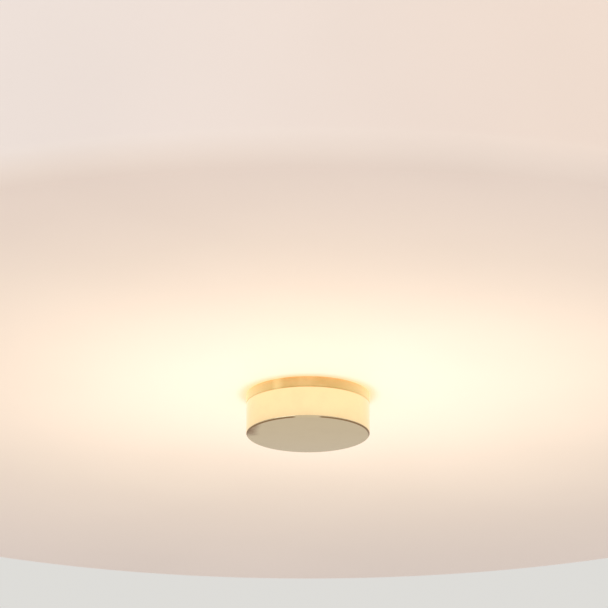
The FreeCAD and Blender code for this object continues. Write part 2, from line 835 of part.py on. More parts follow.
def make_terminal_block():
    """Plastic block with a square bore and two screw towers for each pole, and a hole between two poles."""
    body = new_body("terminal_block")
    base = new_sketch(body, "XY_Plane", "base", SWAGE_FACE)
    low = ("(-block_width / 2)", "(block_centre - block_length / 2)")
    high = ("(block_width / 2)", "(block_centre + block_length / 2)")
    draw_box(base, low, high)
    pad(body, base, "block_height", backwards=True)
    under = f"({SWAGE_FACE} - block_height)"
    last_pole = pole_along(POLES - 1)
    towers = new_sketch(body, "XY_Plane", "towers", under)
    for way in (1, -1):
        middle = f"tower_spacing / 2 * {way}"
        low = (f"({middle} - tower_side / 2)", f"({last_pole} - tower_side / 2)")
        high = (f"({middle} + tower_side / 2)", f"({last_pole} + tower_side / 2)")
        draw_box(towers, low, high)
    tower_pair = pad(body, towers, "tower_height", backwards=True)
    bore = new_sketch(body, "YZ_Plane", "bore")
    low = (f"({last_pole} - insert_side / 2)", f"({LEAD_LEVEL} - insert_side / 2)")
    high = (f"({last_pole} + insert_side / 2)", f"({LEAD_LEVEL} + insert_side / 2)")
    draw_box(bore, low, high)
    pole_bore = cut_through(body, bore)
    repeat_along(body, [tower_pair, pole_bore], "Y_Axis", "pole_pitch", POLES)
    fixing = new_sketch(body, "XY_Plane", "fixing")
    draw_circle(fixing, ("0", BLOCK_SCREW_ALONG), "(holder_screw_radius + screw_gap)")
    cut_through(body, fixing)
    return body


def make_terminal_inserts():
    """Square brass tubes in the block, which take the leads' ends."""
    solid = DOCUMENT.addObject("Part::Box", "insert_solid")
    sides = {"Length": "insert_length", "Width": "insert_side", "Height": "insert_side"}
    middle = {
        "Placement.Base.x": "-insert_length / 2",
        "Placement.Base.y": "-insert_side / 2",
        "Placement.Base.z": "-insert_side / 2",
    }
    bind(solid, sides | middle)
    hole = cylinder("insert_hole", "insert_bore_radius", "2 * insert_length")
    hole.Placement.Rotation = FreeCAD.Rotation(FreeCAD.Vector(0, 1, 0), 90)
    bind(hole, {"Placement.Base.x": "-insert_length"})
    tube = difference("insert_pattern", solid, hole)
    group("terminal_inserts", tube, [("0", pole_along(index), LEAD_LEVEL) for index in range(POLES)])


def make_block_screw():
    """Screw up through the block into the pan."""
    screw = screw_pattern("block_screw_pattern", "holder_screw", "block_screw_length")
    group("block_screw", screw, [("0", BLOCK_SCREW_ALONG, f"({SWAGE_FACE} - block_height)")])


def make_earth_tag():
    """Tag under the earth screw's head, with a tongue that takes the earth lead."""
    body = new_body("earth_tag")
    level = f"({SWAGE_FACE} - tag_thickness)"
    ring = new_sketch(body, "XY_Plane", "ring", level)
    draw_circle(ring, ("earth_screw_across", "earth_screw_along"), "tag_radius")
    pad(body, ring, "tag_thickness")
    tongue = new_sketch(body, "XY_Plane", "tongue", level)
    low = ("(earth_screw_across - tag_length)", "(earth_screw_along - tag_radius / 2)")
    high = ("earth_screw_across", "(earth_screw_along + tag_radius / 2)")
    draw_box(tongue, low, high)
    pad(body, tongue, "tag_thickness")
    hole = new_sketch(body, "XY_Plane", "hole", level)
    draw_circle(hole, ("earth_screw_across", "earth_screw_along"), "pan_screw_radius")
    cut_through(body, hole)
    return body


def make_grommet():
    """Rubber grommet in the pan's cable hole, with a lip on each side of the sheet."""
    outer = "(grommet_bore_radius + grommet_wall)"
    lip = f"({outer} + grommet_lip)"
    corners = [
        ("grommet_bore_radius", f"({SWAGE_FACE} - grommet_lip)"),
        (lip, f"({SWAGE_FACE} - grommet_lip)"),
        (lip, SWAGE_FACE),
        (outer, SWAGE_FACE),
        (outer, SWAGE_TOP),
        (lip, SWAGE_TOP),
        (lip, f"({SWAGE_TOP} + grommet_lip)"),
        ("grommet_bore_radius", f"({SWAGE_TOP} + grommet_lip)"),
    ]
    grommet = revolved("cable_grommet", corners)
    return bind(grommet, {"Placement.Base.x": "grommet_across", "Placement.Base.y": "block_centre"})


def clip_box(name, length, width, height, level):
    """A block centred on the Z axis, from a level upwards."""
    block = DOCUMENT.addObject("Part::Box", name)
    sizes = {"Length": length, "Width": width, "Height": height}
    middle = {"Placement.Base.x": f"-{length} / 2", "Placement.Base.y": f"-{width} / 2"}
    return bind(block, sizes | middle | {"Placement.Base.z": level})


def make_clips():
    """Clips on studs in the pan, each with a channel for the two leads that join the lampholders."""
    height = f"({SWAGE_FACE} - {CLIP_FACE})"
    clip = DOCUMENT.addObject("Part::MultiFuse", "clip_solid")
    clip.Shapes = [
        clip_box("clip_block", "clip_width", "clip_length", height, "0"),
        cylinder("clip_stud", "clip_stud_radius", "clip_stud_length", height),
    ]
    half_height = "(lead_flats / 2 + clip_channel_gap)"
    width = f"(lead_pitch + 2 * {half_height})"
    bottom = f"(clip_below_leads - {half_height})"
    channel = clip_box("clip_channel", "(2 * clip_width)", width, f"(2 * {half_height})", bottom)
    pattern = difference("clip_pattern", clip, channel)
    spots = [(f"(clip_across * {side})", CLIP_ALONG, CLIP_FACE) for side in (1, -1)]
    group("lead_clips", pattern, spots)


def lead_section(start, ahead, flats):
    """A many-sided face across a lead's start, with its flats square to the vertical."""
    up = FreeCAD.Vector(0, 0, 1)
    aside = ahead.cross(up) if abs(ahead.z) < 0.5 else FreeCAD.Vector(0, 1, 0)
    aside.normalize()
    above = aside.cross(ahead)
    half_side = math.pi / LEAD_SIDES
    radius = flats / 2 / math.cos(half_side)
    corners = []
    for side in range(LEAD_SIDES):
        turn = half_side * (1 + 2 * side)
        corners.append(start + aside * (radius * math.cos(turn)) + above * (radius * math.sin(turn)))
    return Part.Face(Part.makePolygon(corners + corners[:1]))


def lead_solid(points, flats):
    """A lead through points: straight runs joined by arcs that are as large as the runs allow."""
    runs = [after - before for before, after in zip(points, points[1:])]
    face = lead_section(points[0], FreeCAD.Vector(runs[0]).normalize(), flats)
    trimmed, pieces, radii = 0.0, [], []
    for index, run in enumerate(runs[:-1]):
        turn = run.getAngle(runs[index + 1])
        radius = BEND_SHARE * min(run.Length, runs[index + 1].Length) / math.tan(turn / 2)
        setback = radius * math.tan(turn / 2)
        ahead = FreeCAD.Vector(run).normalize()
        straight = ahead * (run.Length - trimmed - setback)
        pieces.append(face.extrude(straight))
        face = face.translated(straight)
        axis = ahead.cross(runs[index + 1]).normalize()
        bend_start = points[index + 1] - ahead * setback
        centre = bend_start + axis.cross(ahead) * radius
        pieces.append(face.revolve(centre, axis, math.degrees(turn)))
        face = face.copy().rotate(centre, axis, math.degrees(turn))
        trimmed = setback
        radii.append(radius)
    last = FreeCAD.Vector(runs[-1]).normalize() * (runs[-1].Length - trimmed)
    pieces.append(face.extrude(last))
    solid = pieces[0].multiFuse(pieces[1:]).removeSplitter()
    return solid, radii


def lead_group(label, routes):
    """One or more leads of the same colour as one sub-part, from points given as expressions."""
    leads = []
    for route in routes:
        points = [FreeCAD.Vector(*(number(value) for value in point)) for point in route]
        solid, radii = lead_solid(points, number("lead_flats"))
        print(label, "bends", [round(radius, 1) for radius in radii])
        leads.append(solid)
    feature = node(DOCUMENT.addObject("Part::Feature", label), label)
    feature.Shape = Part.makeCompound(leads)
    return feature


def slot_across(side, way):
    """Where a lampholder's wiring slot lies along X: way is 1 for the slot nearer the middle."""
    return f"((lamp_spacing / 2 - wiring_slot_offset * {way}) * {side})"


def lead_along(index):
    """Y of one of the four parallel runs over the lampholders."""
    return f"(first_lead_along + lead_pitch * {index})"


def block_route(pole, run, way):
    """From a pole of the block round beside the bracket's leg, and down into lampholder 1."""
    start = "(insert_length / 2)"
    corner = f"(lamp_spacing / 2 - barrel_radius - lead_pitch * {1 + way})"
    return [
        (start, pole_along(pole), LEAD_LEVEL),
        (f"({corner} - lead_pitch * 2)", pole_along(pole), LEAD_LEVEL),
        (f"({corner} + lead_pitch)", lead_along(run), LEAD_LEVEL),
        (slot_across(1, way), lead_along(run), LEAD_LEVEL),
        (slot_across(1, way), lead_along(run), SLOT_FLOOR),
    ]


def joining_route(run, way):
    """Up out of lampholder 1, straight across, and down into lampholder 2."""
    return [
        (slot_across(1, way), lead_along(run), SLOT_FLOOR),
        (slot_across(1, way), lead_along(run), LEAD_LEVEL),
        (slot_across(-1, way), lead_along(run), LEAD_LEVEL),
        (slot_across(-1, way), lead_along(run), SLOT_FLOOR),
    ]


def make_leads():
    """Live and neutral leads from the block to both lampholders, and the earth lead to its tag."""
    lead_group("live_leads", [block_route(0, 1, 1), joining_route(2, 1)])
    lead_group("neutral_leads", [block_route(1, 0, -1), joining_route(3, -1)])
    tongue = "(earth_screw_across - tag_length)"
    under_tag = f"({SWAGE_FACE} - tag_thickness - lead_flats / 2)"
    earth = pole_along(2)
    route = [
        ("(insert_length / 2)", earth, LEAD_LEVEL),
        (f"({tongue} - 3 * lead_flats)", earth, LEAD_LEVEL),
        (f"({tongue} - lead_flats / 2)", earth, under_tag),
        (f"({tongue} + tag_radius)", earth, under_tag),
    ]
    lead_group("earth_lead", [route])


# ---------------------------------------------------------------------------------------------------------
# Whole fitting
# ---------------------------------------------------------------------------------------------------------


def check_document():
    """Stop if any object failed, or a sub-part's shape is empty or invalid."""
    for item in DOCUMENT.Objects:
        if "Invalid" in item.State or "Error" in item.State:
            raise RuntimeError(f"{item.Name} failed: {item.State}")
    for item in NODES:
        if item.Shape.isNull() or not item.Shape.isValid() or not item.Shape.Solids:
            raise RuntimeError(f"{item.Label} has no valid solid")


def export_nodes():
    """Write each sub-part to its own file."""
    os.makedirs("parts", exist_ok=True)
    for item in NODES:
        item.Shape.exportStep(f"parts/{item.Label}.step")


def main():
    fill_sheet()
    make_pan()
    make_seal()
    make_rod()
    make_rod_fixings()
    make_glass()
    make_bush()
    make_tint()
    make_finial()
    make_lamps()
    make_holder_screws()
    make_pan_screws()
    make_terminal_block()
    make_terminal_inserts()
    make_block_screw()
    make_earth_tag()
    make_grommet()
    make_clips()
    make_leads()
    DOCUMENT.recompute()
    check_document()
    export_nodes()


main()
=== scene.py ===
"""Flush mount ceiling light: a glowing opal glass drum under a brass finial, seen from below.

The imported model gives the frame: every piece below sits where its sub-part is, in metres, with the ceiling
at z = 0 and the whole fitting under it.
"""

import logging
import math
from dataclasses import dataclass
from enum import Enum
from functools import cache

import bmesh
import bpy
from mathutils import Matrix, Vector


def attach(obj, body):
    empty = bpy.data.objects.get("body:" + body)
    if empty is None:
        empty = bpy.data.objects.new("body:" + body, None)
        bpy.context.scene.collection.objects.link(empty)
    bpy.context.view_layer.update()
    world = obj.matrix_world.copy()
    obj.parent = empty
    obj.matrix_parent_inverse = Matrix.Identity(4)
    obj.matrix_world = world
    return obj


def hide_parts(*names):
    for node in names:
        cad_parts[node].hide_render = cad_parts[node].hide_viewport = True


LOG = logging.getLogger("ceiling_light")
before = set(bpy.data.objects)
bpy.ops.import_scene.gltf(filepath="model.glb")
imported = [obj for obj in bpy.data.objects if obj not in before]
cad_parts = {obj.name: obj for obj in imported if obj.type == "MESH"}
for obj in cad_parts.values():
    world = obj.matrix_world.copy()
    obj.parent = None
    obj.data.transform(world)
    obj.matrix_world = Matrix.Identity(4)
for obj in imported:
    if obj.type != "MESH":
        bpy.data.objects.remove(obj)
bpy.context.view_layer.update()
MM = 0.001
MERGE = 1e-6
SLIVER = 1e-7
# Under FLAT, faces are joined; over HARD, edges are eased.
FLAT = math.radians(0.5)
HARD = math.radians(40.0)
FULL_TURN = 2.0 * math.pi
QUARTER_TURN = math.pi / 2.0
LAMP_PITCH = 3.629
FORWARDS = Matrix.Rotation(-QUARTER_TURN, 4, "X")

Colour = tuple[float, float, float]
Point = tuple[float, float, float]
Pair = tuple[float, float]
Route = list[Point]
Shape = bmesh.types.BMesh
Piece = bpy.types.Object
Socket = bpy.types.NodeSocket


# ---- Mixing materials ----


class Nodes:
    """A node tree that is wired up step by step."""

    def __init__(self, tree: bpy.types.NodeTree, coordinates: str) -> None:
        """Take a tree in hand.

        Args:
            tree: the tree.
            coordinates: the coordinates that its patterns follow.
        """
        self.tree = tree
        self.place = tree.nodes.new("ShaderNodeTexCoord").outputs[coordinates]

    def give(self, target: Socket, value: "Socket | float | Colour") -> None:
        """Link or set one input.

        Args:
            target: the input.
            value: a socket to link, or a plain value.
        """
        if isinstance(value, Socket):
            self.tree.links.new(value, target)
        elif isinstance(value, tuple) and len(target.default_value) == 4:
            target.default_value = (*value, 1.0)
        else:
            target.default_value = value

    def sum(self, operation: str, first: "Socket | float", second: "Socket | float" = 0.0) -> Socket:
        """One step of arithmetic.

        Args:
            operation: the operation's name.
            first: its first term.
            second: its second term.

        Returns:
            The result.
        """
        node = self.tree.nodes.new("ShaderNodeMath")
        node.operation = operation
        self.give(node.inputs[0], first)
        self.give(node.inputs[1], second)
        return node.outputs[0]

    def times(self, first: Socket, second: "Socket | float") -> Socket:
        """Multiply two terms.

        Args:
            first: the first term.
            second: the second term.

        Returns:
            Their product.
        """
        return self.sum("MULTIPLY", first, second)

    def vector(self, operation: str, first: "Socket | Colour", second: "Socket | Colour | float") -> Socket:
        """One step of vector arithmetic.

        Args:
            operation: ADD, MULTIPLY, SCALE or DOT_PRODUCT.
            first: its first term.
            second: its second term, which is a number for SCALE.

        Returns:
            The result, which is a number for DOT_PRODUCT.
        """
        node = self.tree.nodes.new("ShaderNodeVectorMath")
        node.operation = operation
        self.give(node.inputs[0], first)
        self.give(node.inputs["Scale"] if operation == "SCALE" else node.inputs[1], second)
        return node.outputs["Value" if operation == "DOT_PRODUCT" else "Vector"]

    def axes(self) -> tuple[Socket, Socket, Socket]:
        """The coordinates, one by one."""
        node = self.tree.nodes.new("ShaderNodeSeparateXYZ")
        self.tree.links.new(self.place, node.inputs[0])
        return node.outputs[0], node.outputs[1], node.outputs[2]

    def radius(self) -> Socket:
        """The distance from the upright axis."""
        across, along, _ = self.axes()
        return self.sum("SQRT", self.sum("ADD", self.times(across, across), self.times(along, along)))

    def bearing(self) -> Socket:
        """The turn round the upright axis in radians, from the side that faces the camera."""
        across, along, _ = self.axes()
        return self.sum("ARCTAN2", across, self.times(along, -1.0))

    def noise(self, scale: float = 1.0, detail: float = 3.0, stretch: "Colour | None" = None) -> Socket:
        """Smooth noise.

        Args:
            scale: cells to the metre.
            detail: octaves.
            stretch: a scale of its own for each axis.

        Returns:
            The noise, from 0 to 1.
        """
        node = self.tree.nodes.new("ShaderNodeTexNoise")
        node.inputs["Scale"].default_value = scale
        node.inputs["Detail"].default_value = detail
        place = self.vector("MULTIPLY", self.place, stretch) if stretch else self.place
        self.tree.links.new(place, node.inputs["Vector"])
        return node.outputs["Fac"]

    def cells(self, scale: float) -> tuple[Socket, Socket]:
        """Scattered points.

        Args:
            scale: points to the metre.

        Returns:
            The distance to the nearest point, and that point's own colour.
        """
        node = self.tree.nodes.new("ShaderNodeTexVoronoi")
        node.inputs["Scale"].default_value = scale
        self.tree.links.new(self.place, node.inputs["Vector"])
        return node.outputs["Distance"], node.outputs["Color"]

    def between(self, value: Socket, low: float, high: float, start: float = 0.0, end: float = 1.0) -> Socket:
        """A soft step from one value to another.

        Args:
            value: what is measured.
            low: where the step starts.
            high: where it ends.
            start: the value before it.
            end: the value after it.

        Returns:
            The stepped value.
        """
        node = self.tree.nodes.new("ShaderNodeMapRange")
        node.interpolation_type = "SMOOTHSTEP"
        self.tree.links.new(value, node.inputs["Value"])
        for name, limit in (("From Min", low), ("From Max", high), ("To Min", start), ("To Max", end)):
            node.inputs[name].default_value = limit
        return node.outputs["Result"]

    def blend(self, amount: Socket, first: Colour, second: Colour) -> Socket:
        """A mix of two colours.

        Args:
            amount: how much of the second.
            first: the first colour.
            second: the second colour.

        Returns:
            The mixed colour.
        """
        node = self.tree.nodes.new("ShaderNodeMix")
        node.data_type = "RGBA"
        # The node's colours come after its numbers and its vectors.
        for index, value in ((0, amount), (6, first), (7, second)):
            self.give(node.inputs[index], value)
        return node.outputs[2]


class Recipe(Nodes):
    """A material being mixed from one principled shader and the nodes that feed it."""

    def __init__(self, name: str) -> None:
        """Start an empty material.

        Args:
            name: the finish's name.
        """
        self.material = bpy.data.materials.new(name)
        self.material.use_nodes = True
        tree = self.material.node_tree
        tree.nodes.clear()
        super().__init__(tree, "Object")
        output = tree.nodes.new("ShaderNodeOutputMaterial")
        self.shader = tree.nodes.new("ShaderNodeBsdfPrincipled")
        tree.links.new(self.shader.outputs[0], output.inputs["Surface"])

    def set(self, **values: "Socket | float | Colour") -> None:
        """Set or feed the shader's sockets.

        Args:
            values: socket names with underscores for spaces, and what goes into them.
        """
        for name, value in values.items():
            self.give(self.shader.inputs[name.replace("_", " ")], value)

    def relief(self, height: Socket, depth: float, strength: float) -> None:
        """Raise the surface by a height.

        Args:
            height: the pattern.
            depth: its depth in metres.
            strength: how much of it shows.
        """
        node = self.tree.nodes.new("ShaderNodeBump")
        node.inputs["Strength"].default_value = strength
        node.inputs["Distance"].default_value = depth
        self.tree.links.new(height, node.inputs["Height"])
        self.set(Normal=node.outputs["Normal"])


@dataclass(frozen=True)
class Finish:
    """A surface finish that is mixed once and then reused."""

    name: str

    @cache
    def mix(self) -> bpy.types.Material:
        """The finish's material, mixed at its first use."""
        return self.build()

    def build(self) -> bpy.types.Material:
        """Mix the material; each kind of finish has its own way."""
        raise NotImplementedError


@dataclass(frozen=True)
class OpalGlass(Finish):
    """White cased glass, with the light of the two lamps behind it painted on as a glow. Lengths are in
    metres.
    """

    body: Colour = (0.60, 0.575, 0.54)
    resting_glow: Colour = (0.303, 0.245, 0.226)
    middle: Pair = (0.005, -0.010)
    across_stretch: float = 1.10
    wide_glow: Colour = (0.37, 0.285, 0.14)
    wide_spread: float = 0.090
    near_glow: Colour = (0.24, 0.19, 0.185)
    near_spread: float = 0.050
    # Painted light: the glow grows brighter and warmer toward the front, along -Y.
    front_light_tint: Colour = (1.15, 0.75, 0.55)
    front_light_slope: float = 0.20
    wall_glow: Colour = (-0.049, -0.052, -0.038)
    wall_starts: Pair = (-0.1065, -0.0970)
    # Painted light on the wall: warmer toward +X, cooler toward -X.
    wall_side_light: Colour = (0.15, -0.17, -0.45)
    slope_reach: float = 0.09
    slope_limit: float = 0.06
    # Painted shade: the glass just round the washer glows darker and more orange.
    washer_ring_shade: Colour = (0.0, -0.25, -0.30)
    ring_shade_fades: Pair = (0.0172, 0.0212)
    cloud: Pair = (0.985, 1.015)
    specks_to_metre: float = 60.0
    speck_size: Pair = (0.018, 0.035)
    speck_chosen: Pair = (0.80, 0.81)
    speck_darkness: float = 0.16

    def build(self) -> bpy.types.Material:
        """Mix the glass."""
        recipe = Recipe(self.name)
        across, along, up = recipe.axes()
        side = recipe.sum("DIVIDE", recipe.sum("SUBTRACT", across, self.middle[0]), self.across_stretch)
        ahead = recipe.sum("SUBTRACT", along, self.middle[1])
        square = recipe.sum("ADD", recipe.times(side, side), recipe.times(ahead, ahead))
        wall = recipe.between(up, *self.wall_starts)
        reach, limit = self.slope_reach, self.slope_limit
        sideways = recipe.between(across, -reach, reach, -limit, limit)
        # Painted light: glow lobes round the middle, brighter and warmer toward the front, less glow on the
        # wall, the wall warmer on one side and cooler on the other, and painted shade in a ring round the
        # washer.
        layers = [
            (tint, recipe.sum("EXPONENT", recipe.times(square, -0.5 / spread**2)))
            for tint, spread in ((self.wide_glow, self.wide_spread), (self.near_glow, self.near_spread))
        ]
        layers += [
            (self.front_light_tint, recipe.times(along, -self.front_light_slope)),
            (self.wall_glow, wall),
            (self.wall_side_light, recipe.times(sideways, wall)),
            (self.washer_ring_shade, recipe.between(recipe.radius(), *self.ring_shade_fades, 1.0, 0.0)),
        ]
        glow = self.resting_glow
        for tint, amount in layers:
            glow = recipe.vector("ADD", glow, recipe.vector("SCALE", tint, amount))
        cloud = recipe.between(recipe.noise(14.0, 2.0), 0.3, 0.7, *self.cloud)
        away, chance = recipe.cells(self.specks_to_metre)
        chosen = recipe.between(chance, *self.speck_chosen)
        speck = recipe.times(recipe.between(away, *self.speck_size, 1.0, 0.0), chosen)
        shade = recipe.sum("SUBTRACT", cloud, recipe.times(speck, self.speck_darkness))
        recipe.set(Roughness=0.5, IOR=1.45, Specular_IOR_Level=0.3, Emission_Strength=1.0)
        recipe.set(Emission_Color=recipe.vector("SCALE", glow, shade))
        recipe.set(Base_Color=recipe.vector("SCALE", self.body, shade))
        recipe.relief(recipe.noise(9.0, 1.0), 0.0004, 0.25)
        return recipe.material


@dataclass(frozen=True)
class PolishedBrass(Finish):
    """Polished brass with a streaked brown patch on its face, and a painted dark reflection along its rounded
    lower edge on the camera side, broken in the middle.

    Levels and radii are in metres, turns in radians.
    """

    metal: Colour = (0.93, 0.82, 0.535)
    reflection_and_patch_brown: Colour = (0.34, 0.19, 0.075)
    bottom_face_fades: Pair = (-0.1190, -0.11878)
    rim_starts: Pair = (0.01695, 0.01715)
    rim_offset: float = 0.01
    rim_turns: Pair = (0.17, 0.25)
    rim_ends: Pair = (1.5, 1.75)
    patch_radii: Pair = (0.0128, 0.0158)
    patch_turns: Pair = (-0.15, 0.15)
    patch_ends: Pair = (0.45, 0.80)
    patch_narrows: float = 0.0040
    streaks: Colour = (420.0, 900.0, 500.0)
    polish: Colour = (2400.0, 300.0, 300.0)

    def build(self) -> bpy.types.Material:
        """Mix the brass."""
        recipe = Recipe(self.name)
        radius, bearing = recipe.radius(), recipe.bearing()
        low = recipe.between(recipe.axes()[2], *self.bottom_face_fades, 1.0, 0.0)
        # Painted reflection: a dark brown line on the rounded lower edge, on the camera side, with a gap in
        # the middle. A streaked brown patch sits at the left of the face.
        away = recipe.sum("ABSOLUTE", recipe.sum("ADD", bearing, self.rim_offset))
        arc = recipe.between(away, *self.rim_turns)
        arc = recipe.times(arc, recipe.between(away, *self.rim_ends, 1.0, 0.0))
        rim_reflection = recipe.times(recipe.times(recipe.between(radius, *self.rim_starts), low), arc)
        aside = recipe.sum("ADD", bearing, QUARTER_TURN)
        inward = recipe.sum("SUBTRACT", radius, recipe.times(aside, self.patch_narrows))
        streak = recipe.between(recipe.noise(stretch=self.streaks), 0.3, 0.6, 0.45, 1.0)
        patch = recipe.times(recipe.between(inward, *self.patch_radii), streak)
        patch = recipe.times(patch, recipe.between(aside, *self.patch_turns))
        patch = recipe.times(patch, recipe.between(aside, *self.patch_ends, 1.0, 0.0))
        rim_reflection_and_patch = recipe.sum("MAXIMUM", rim_reflection, recipe.times(patch, low))
        tarnish = recipe.between(recipe.noise(160.0, 4.0), 0.45, 0.80, 0.0, 0.05)
        reflection_and_tarnish = recipe.sum("MAXIMUM", recipe.times(rim_reflection_and_patch, 0.9), tarnish)
        rough = recipe.between(recipe.noise(420.0), 0.3, 0.75, 0.07, 0.14)
        recipe.set(Metallic=1.0, Coat_Weight=0.15, Coat_Roughness=0.1)
        recipe.set(Base_Color=recipe.blend(reflection_and_tarnish, self.metal, self.reflection_and_patch_brown))
        recipe.set(Roughness=recipe.sum("ADD", rough, recipe.times(rim_reflection_and_patch, 0.2)))
        recipe.relief(recipe.noise(stretch=self.polish), 0.00001, 0.2)
        return recipe.material


@dataclass(frozen=True)
class AmberPlastic(Finish):
    """Yellowed translucent plastic, with the light that comes through it from the glass above painted on as a
    glow. Turns are in radians.
    """

    body: Colour = (0.62, 0.37, 0.12)
    clouded: Colour = (0.66, 0.40, 0.15)
    lit: Colour = (0.19, 0.17, 0.065)
    light_spot: Colour = (0.40, 0.39, 0.19)
    side_glow_turns: Pair = (0.25, 1.35)
    spot_turn: float = -0.53
    spot_reach: float = 0.16
    spot_light: float = 0.8
    cloud_light: float = 0.2

    def build(self) -> bpy.types.Material:
        """Mix the plastic."""
        recipe = Recipe(self.name)
        bearing = recipe.bearing()
        # Painted light: the glow is paler toward the sides, away from the camera side, and in one spot; the
        # cloud adds a little.
        side = recipe.between(recipe.sum("ABSOLUTE", bearing), *self.side_glow_turns)
        cloud = recipe.between(recipe.noise(190.0, 2.0), 0.42, 0.70)
        spot = recipe.sum("ABSOLUTE", recipe.sum("SUBTRACT", bearing, self.spot_turn))
        spot = recipe.between(spot, 0.0, self.spot_reach, self.spot_light, 0.0)
        pale = recipe.sum("MAXIMUM", side, recipe.sum("MAXIMUM", spot, recipe.times(cloud, self.cloud_light)))
        recipe.set(Roughness=0.28, IOR=1.49, Subsurface_Weight=0.2, Subsurface_Scale=0.002)
        recipe.set(Emission_Color=recipe.blend(pale, self.lit, self.light_spot), Emission_Strength=1.0)
        recipe.set(Base_Color=recipe.blend(cloud, self.body, self.clouded))
        recipe.relief(recipe.noise(900.0, 2.0), 0.00003, 0.3)
        return recipe.material


class Grain(Enum):
    """How a plain finish is textured: cells to the metre, depth in metres, and how much colour changes."""

    ORANGE_PEEL = (520.0, 0.00003, 0.03)
    GLAZE = (120.0, 0.00008, 0.04)
    FOAM = (2600.0, 0.00025, 0.18)
    MOULDED = (1500.0, 0.00003, 0.06)
    RUBBER = (2200.0, 0.00005, 0.12)
    SLEEVE = (900.0, 0.00002, 0.08)
    FROST = (3200.0, 0.00002, 0.03)


@dataclass(frozen=True)
class Plain(Finish):
    """Paint, glaze, foam, plastic or rubber in one colour, with its own grain."""

    colour: Colour
    roughness: float
    grain: Grain
    glow: Colour = (0.0, 0.0, 0.0)
    glow_strength: float = 0.0
    shine: float = 0.0

    def build(self) -> bpy.types.Material:
        """Mix the finish."""
        recipe = Recipe(self.name)
        scale, depth, change = self.grain.value
        fine = recipe.noise(scale)
        patch = recipe.between(recipe.noise(35.0, 4.0), 0.3, 0.7, 1.0 - change, 1.0)
        low, high = self.roughness * 0.85, min(1.0, self.roughness * 1.15)
        recipe.set(Coat_Weight=self.shine, Coat_Roughness=0.05)
        recipe.set(Emission_Color=self.glow, Emission_Strength=self.glow_strength)
        recipe.set(Base_Color=recipe.vector("SCALE", self.colour, patch))
        recipe.set(Roughness=recipe.between(fine, 0.25, 0.8, low, high))
        recipe.relief(fine, depth, 0.6)
        return recipe.material


@dataclass(frozen=True)
class PlatedMetal(Finish):
    """Plated or rolled metal with fine lines one way, and dull patches."""

    colour: Colour = (0.75, 0.74, 0.71)
    dull: Colour = (0.50, 0.49, 0.47)
    roughness: float = 0.32
    lines: Colour = (300.0, 3000.0, 3000.0)
    line_depth: float = 0.00001
    thread_pitch: float = 0.0
    thread_depth: float = 0.0006

    def build(self) -> bpy.types.Material:
        """Mix the metal."""
        recipe = Recipe(self.name)
        patch = recipe.between(recipe.noise(110.0, 5.0), 0.38, 0.72, 0.0, 0.45)
        height = recipe.noise(stretch=self.lines)
        low, high = self.roughness * 0.8, self.roughness * 1.3
        recipe.set(Metallic=1.0, Base_Color=recipe.blend(patch, self.colour, self.dull))
        recipe.set(Roughness=recipe.between(height, 0.25, 0.75, low, high))
        depth = self.line_depth
        if self.thread_pitch:
            height = recipe.sum("SINE", recipe.times(recipe.axes()[1], FULL_TURN / self.thread_pitch))
            depth = self.thread_depth
        recipe.relief(height, depth, 0.8)
        return recipe.material


@dataclass(frozen=True)
class StripedSleeve(Finish):
    """Green lead sleeve with a yellow stripe that winds along it, in metres."""

    green: Colour = (0.03, 0.22, 0.05)
    yellow: Colour = (0.75, 0.55, 0.03)
    lead_along: float = -0.121
    waves: float = 260.0
    wave_height: float = 0.0006
    stripe_edge: float = 0.0001

    def build(self) -> bpy.types.Material:
        """Mix the sleeve."""
        recipe = Recipe(self.name)
        across, along, _ = recipe.axes()
        ahead = recipe.sum("SUBTRACT", along, self.lead_along)
        wave = recipe.times(recipe.sum("SINE", recipe.times(across, self.waves)), self.wave_height)
        stripe = recipe.between(recipe.sum("ADD", ahead, wave), -self.stripe_edge, self.stripe_edge)
        recipe.set(Roughness=0.38, Coat_Weight=0.1)
        recipe.set(Base_Color=recipe.blend(stripe, self.green, self.yellow))
        recipe.relief(recipe.noise(900.0, 2.0), 0.00002, 0.4)
        return recipe.material


BRASS_TINT = (0.80, 0.62, 0.30)

GLASS = OpalGlass("opal_glass")
BRASS = PolishedBrass("polished_brass")
AMBER = AmberPlastic("amber_plastic")
ENAMEL = Plain("white_enamel", (0.80, 0.785, 0.76), 0.36, Grain.ORANGE_PEEL, shine=0.2)
FOAM = Plain("seal_foam", (0.66, 0.65, 0.62), 0.95, Grain.FOAM)
PORCELAIN = Plain("glazed_porcelain", (0.84, 0.82, 0.77), 0.10, Grain.GLAZE, shine=0.5)
NYLON = Plain("natural_nylon", (0.78, 0.76, 0.69), 0.45, Grain.MOULDED)
BLOCK = Plain("block_nylon", (0.80, 0.78, 0.70), 0.48, Grain.MOULDED)
RUBBER = Plain("grommet_rubber", (0.028, 0.027, 0.026), 0.70, Grain.RUBBER)
BROWN_SLEEVE = Plain("brown_sleeve", (0.14, 0.055, 0.025), 0.38, Grain.SLEEVE, shine=0.1)
BLUE_SLEEVE = Plain("blue_sleeve", (0.03, 0.13, 0.42), 0.38, Grain.SLEEVE, shine=0.1)
EARTH_SLEEVE = StripedSleeve("earth_sleeve")
BLACK_GLASS = Plain("black_glass", (0.012, 0.011, 0.014), 0.14, Grain.GLAZE, shine=0.4)
FROSTED = Plain("frosted_glass", (0.70, 0.68, 0.64), 0.5, Grain.FROST, (1.0, 0.86, 0.62), 0.38)
STEEL = PlatedMetal("zinc_steel")
SHELL_BRASS = PlatedMetal("shell_brass", BRASS_TINT, (0.50, 0.36, 0.17), 0.30, thread_pitch=LAMP_PITCH * MM)
CONTACT_BRASS = PlatedMetal("contact_brass", BRASS_TINT, (0.52, 0.38, 0.18), 0.28)
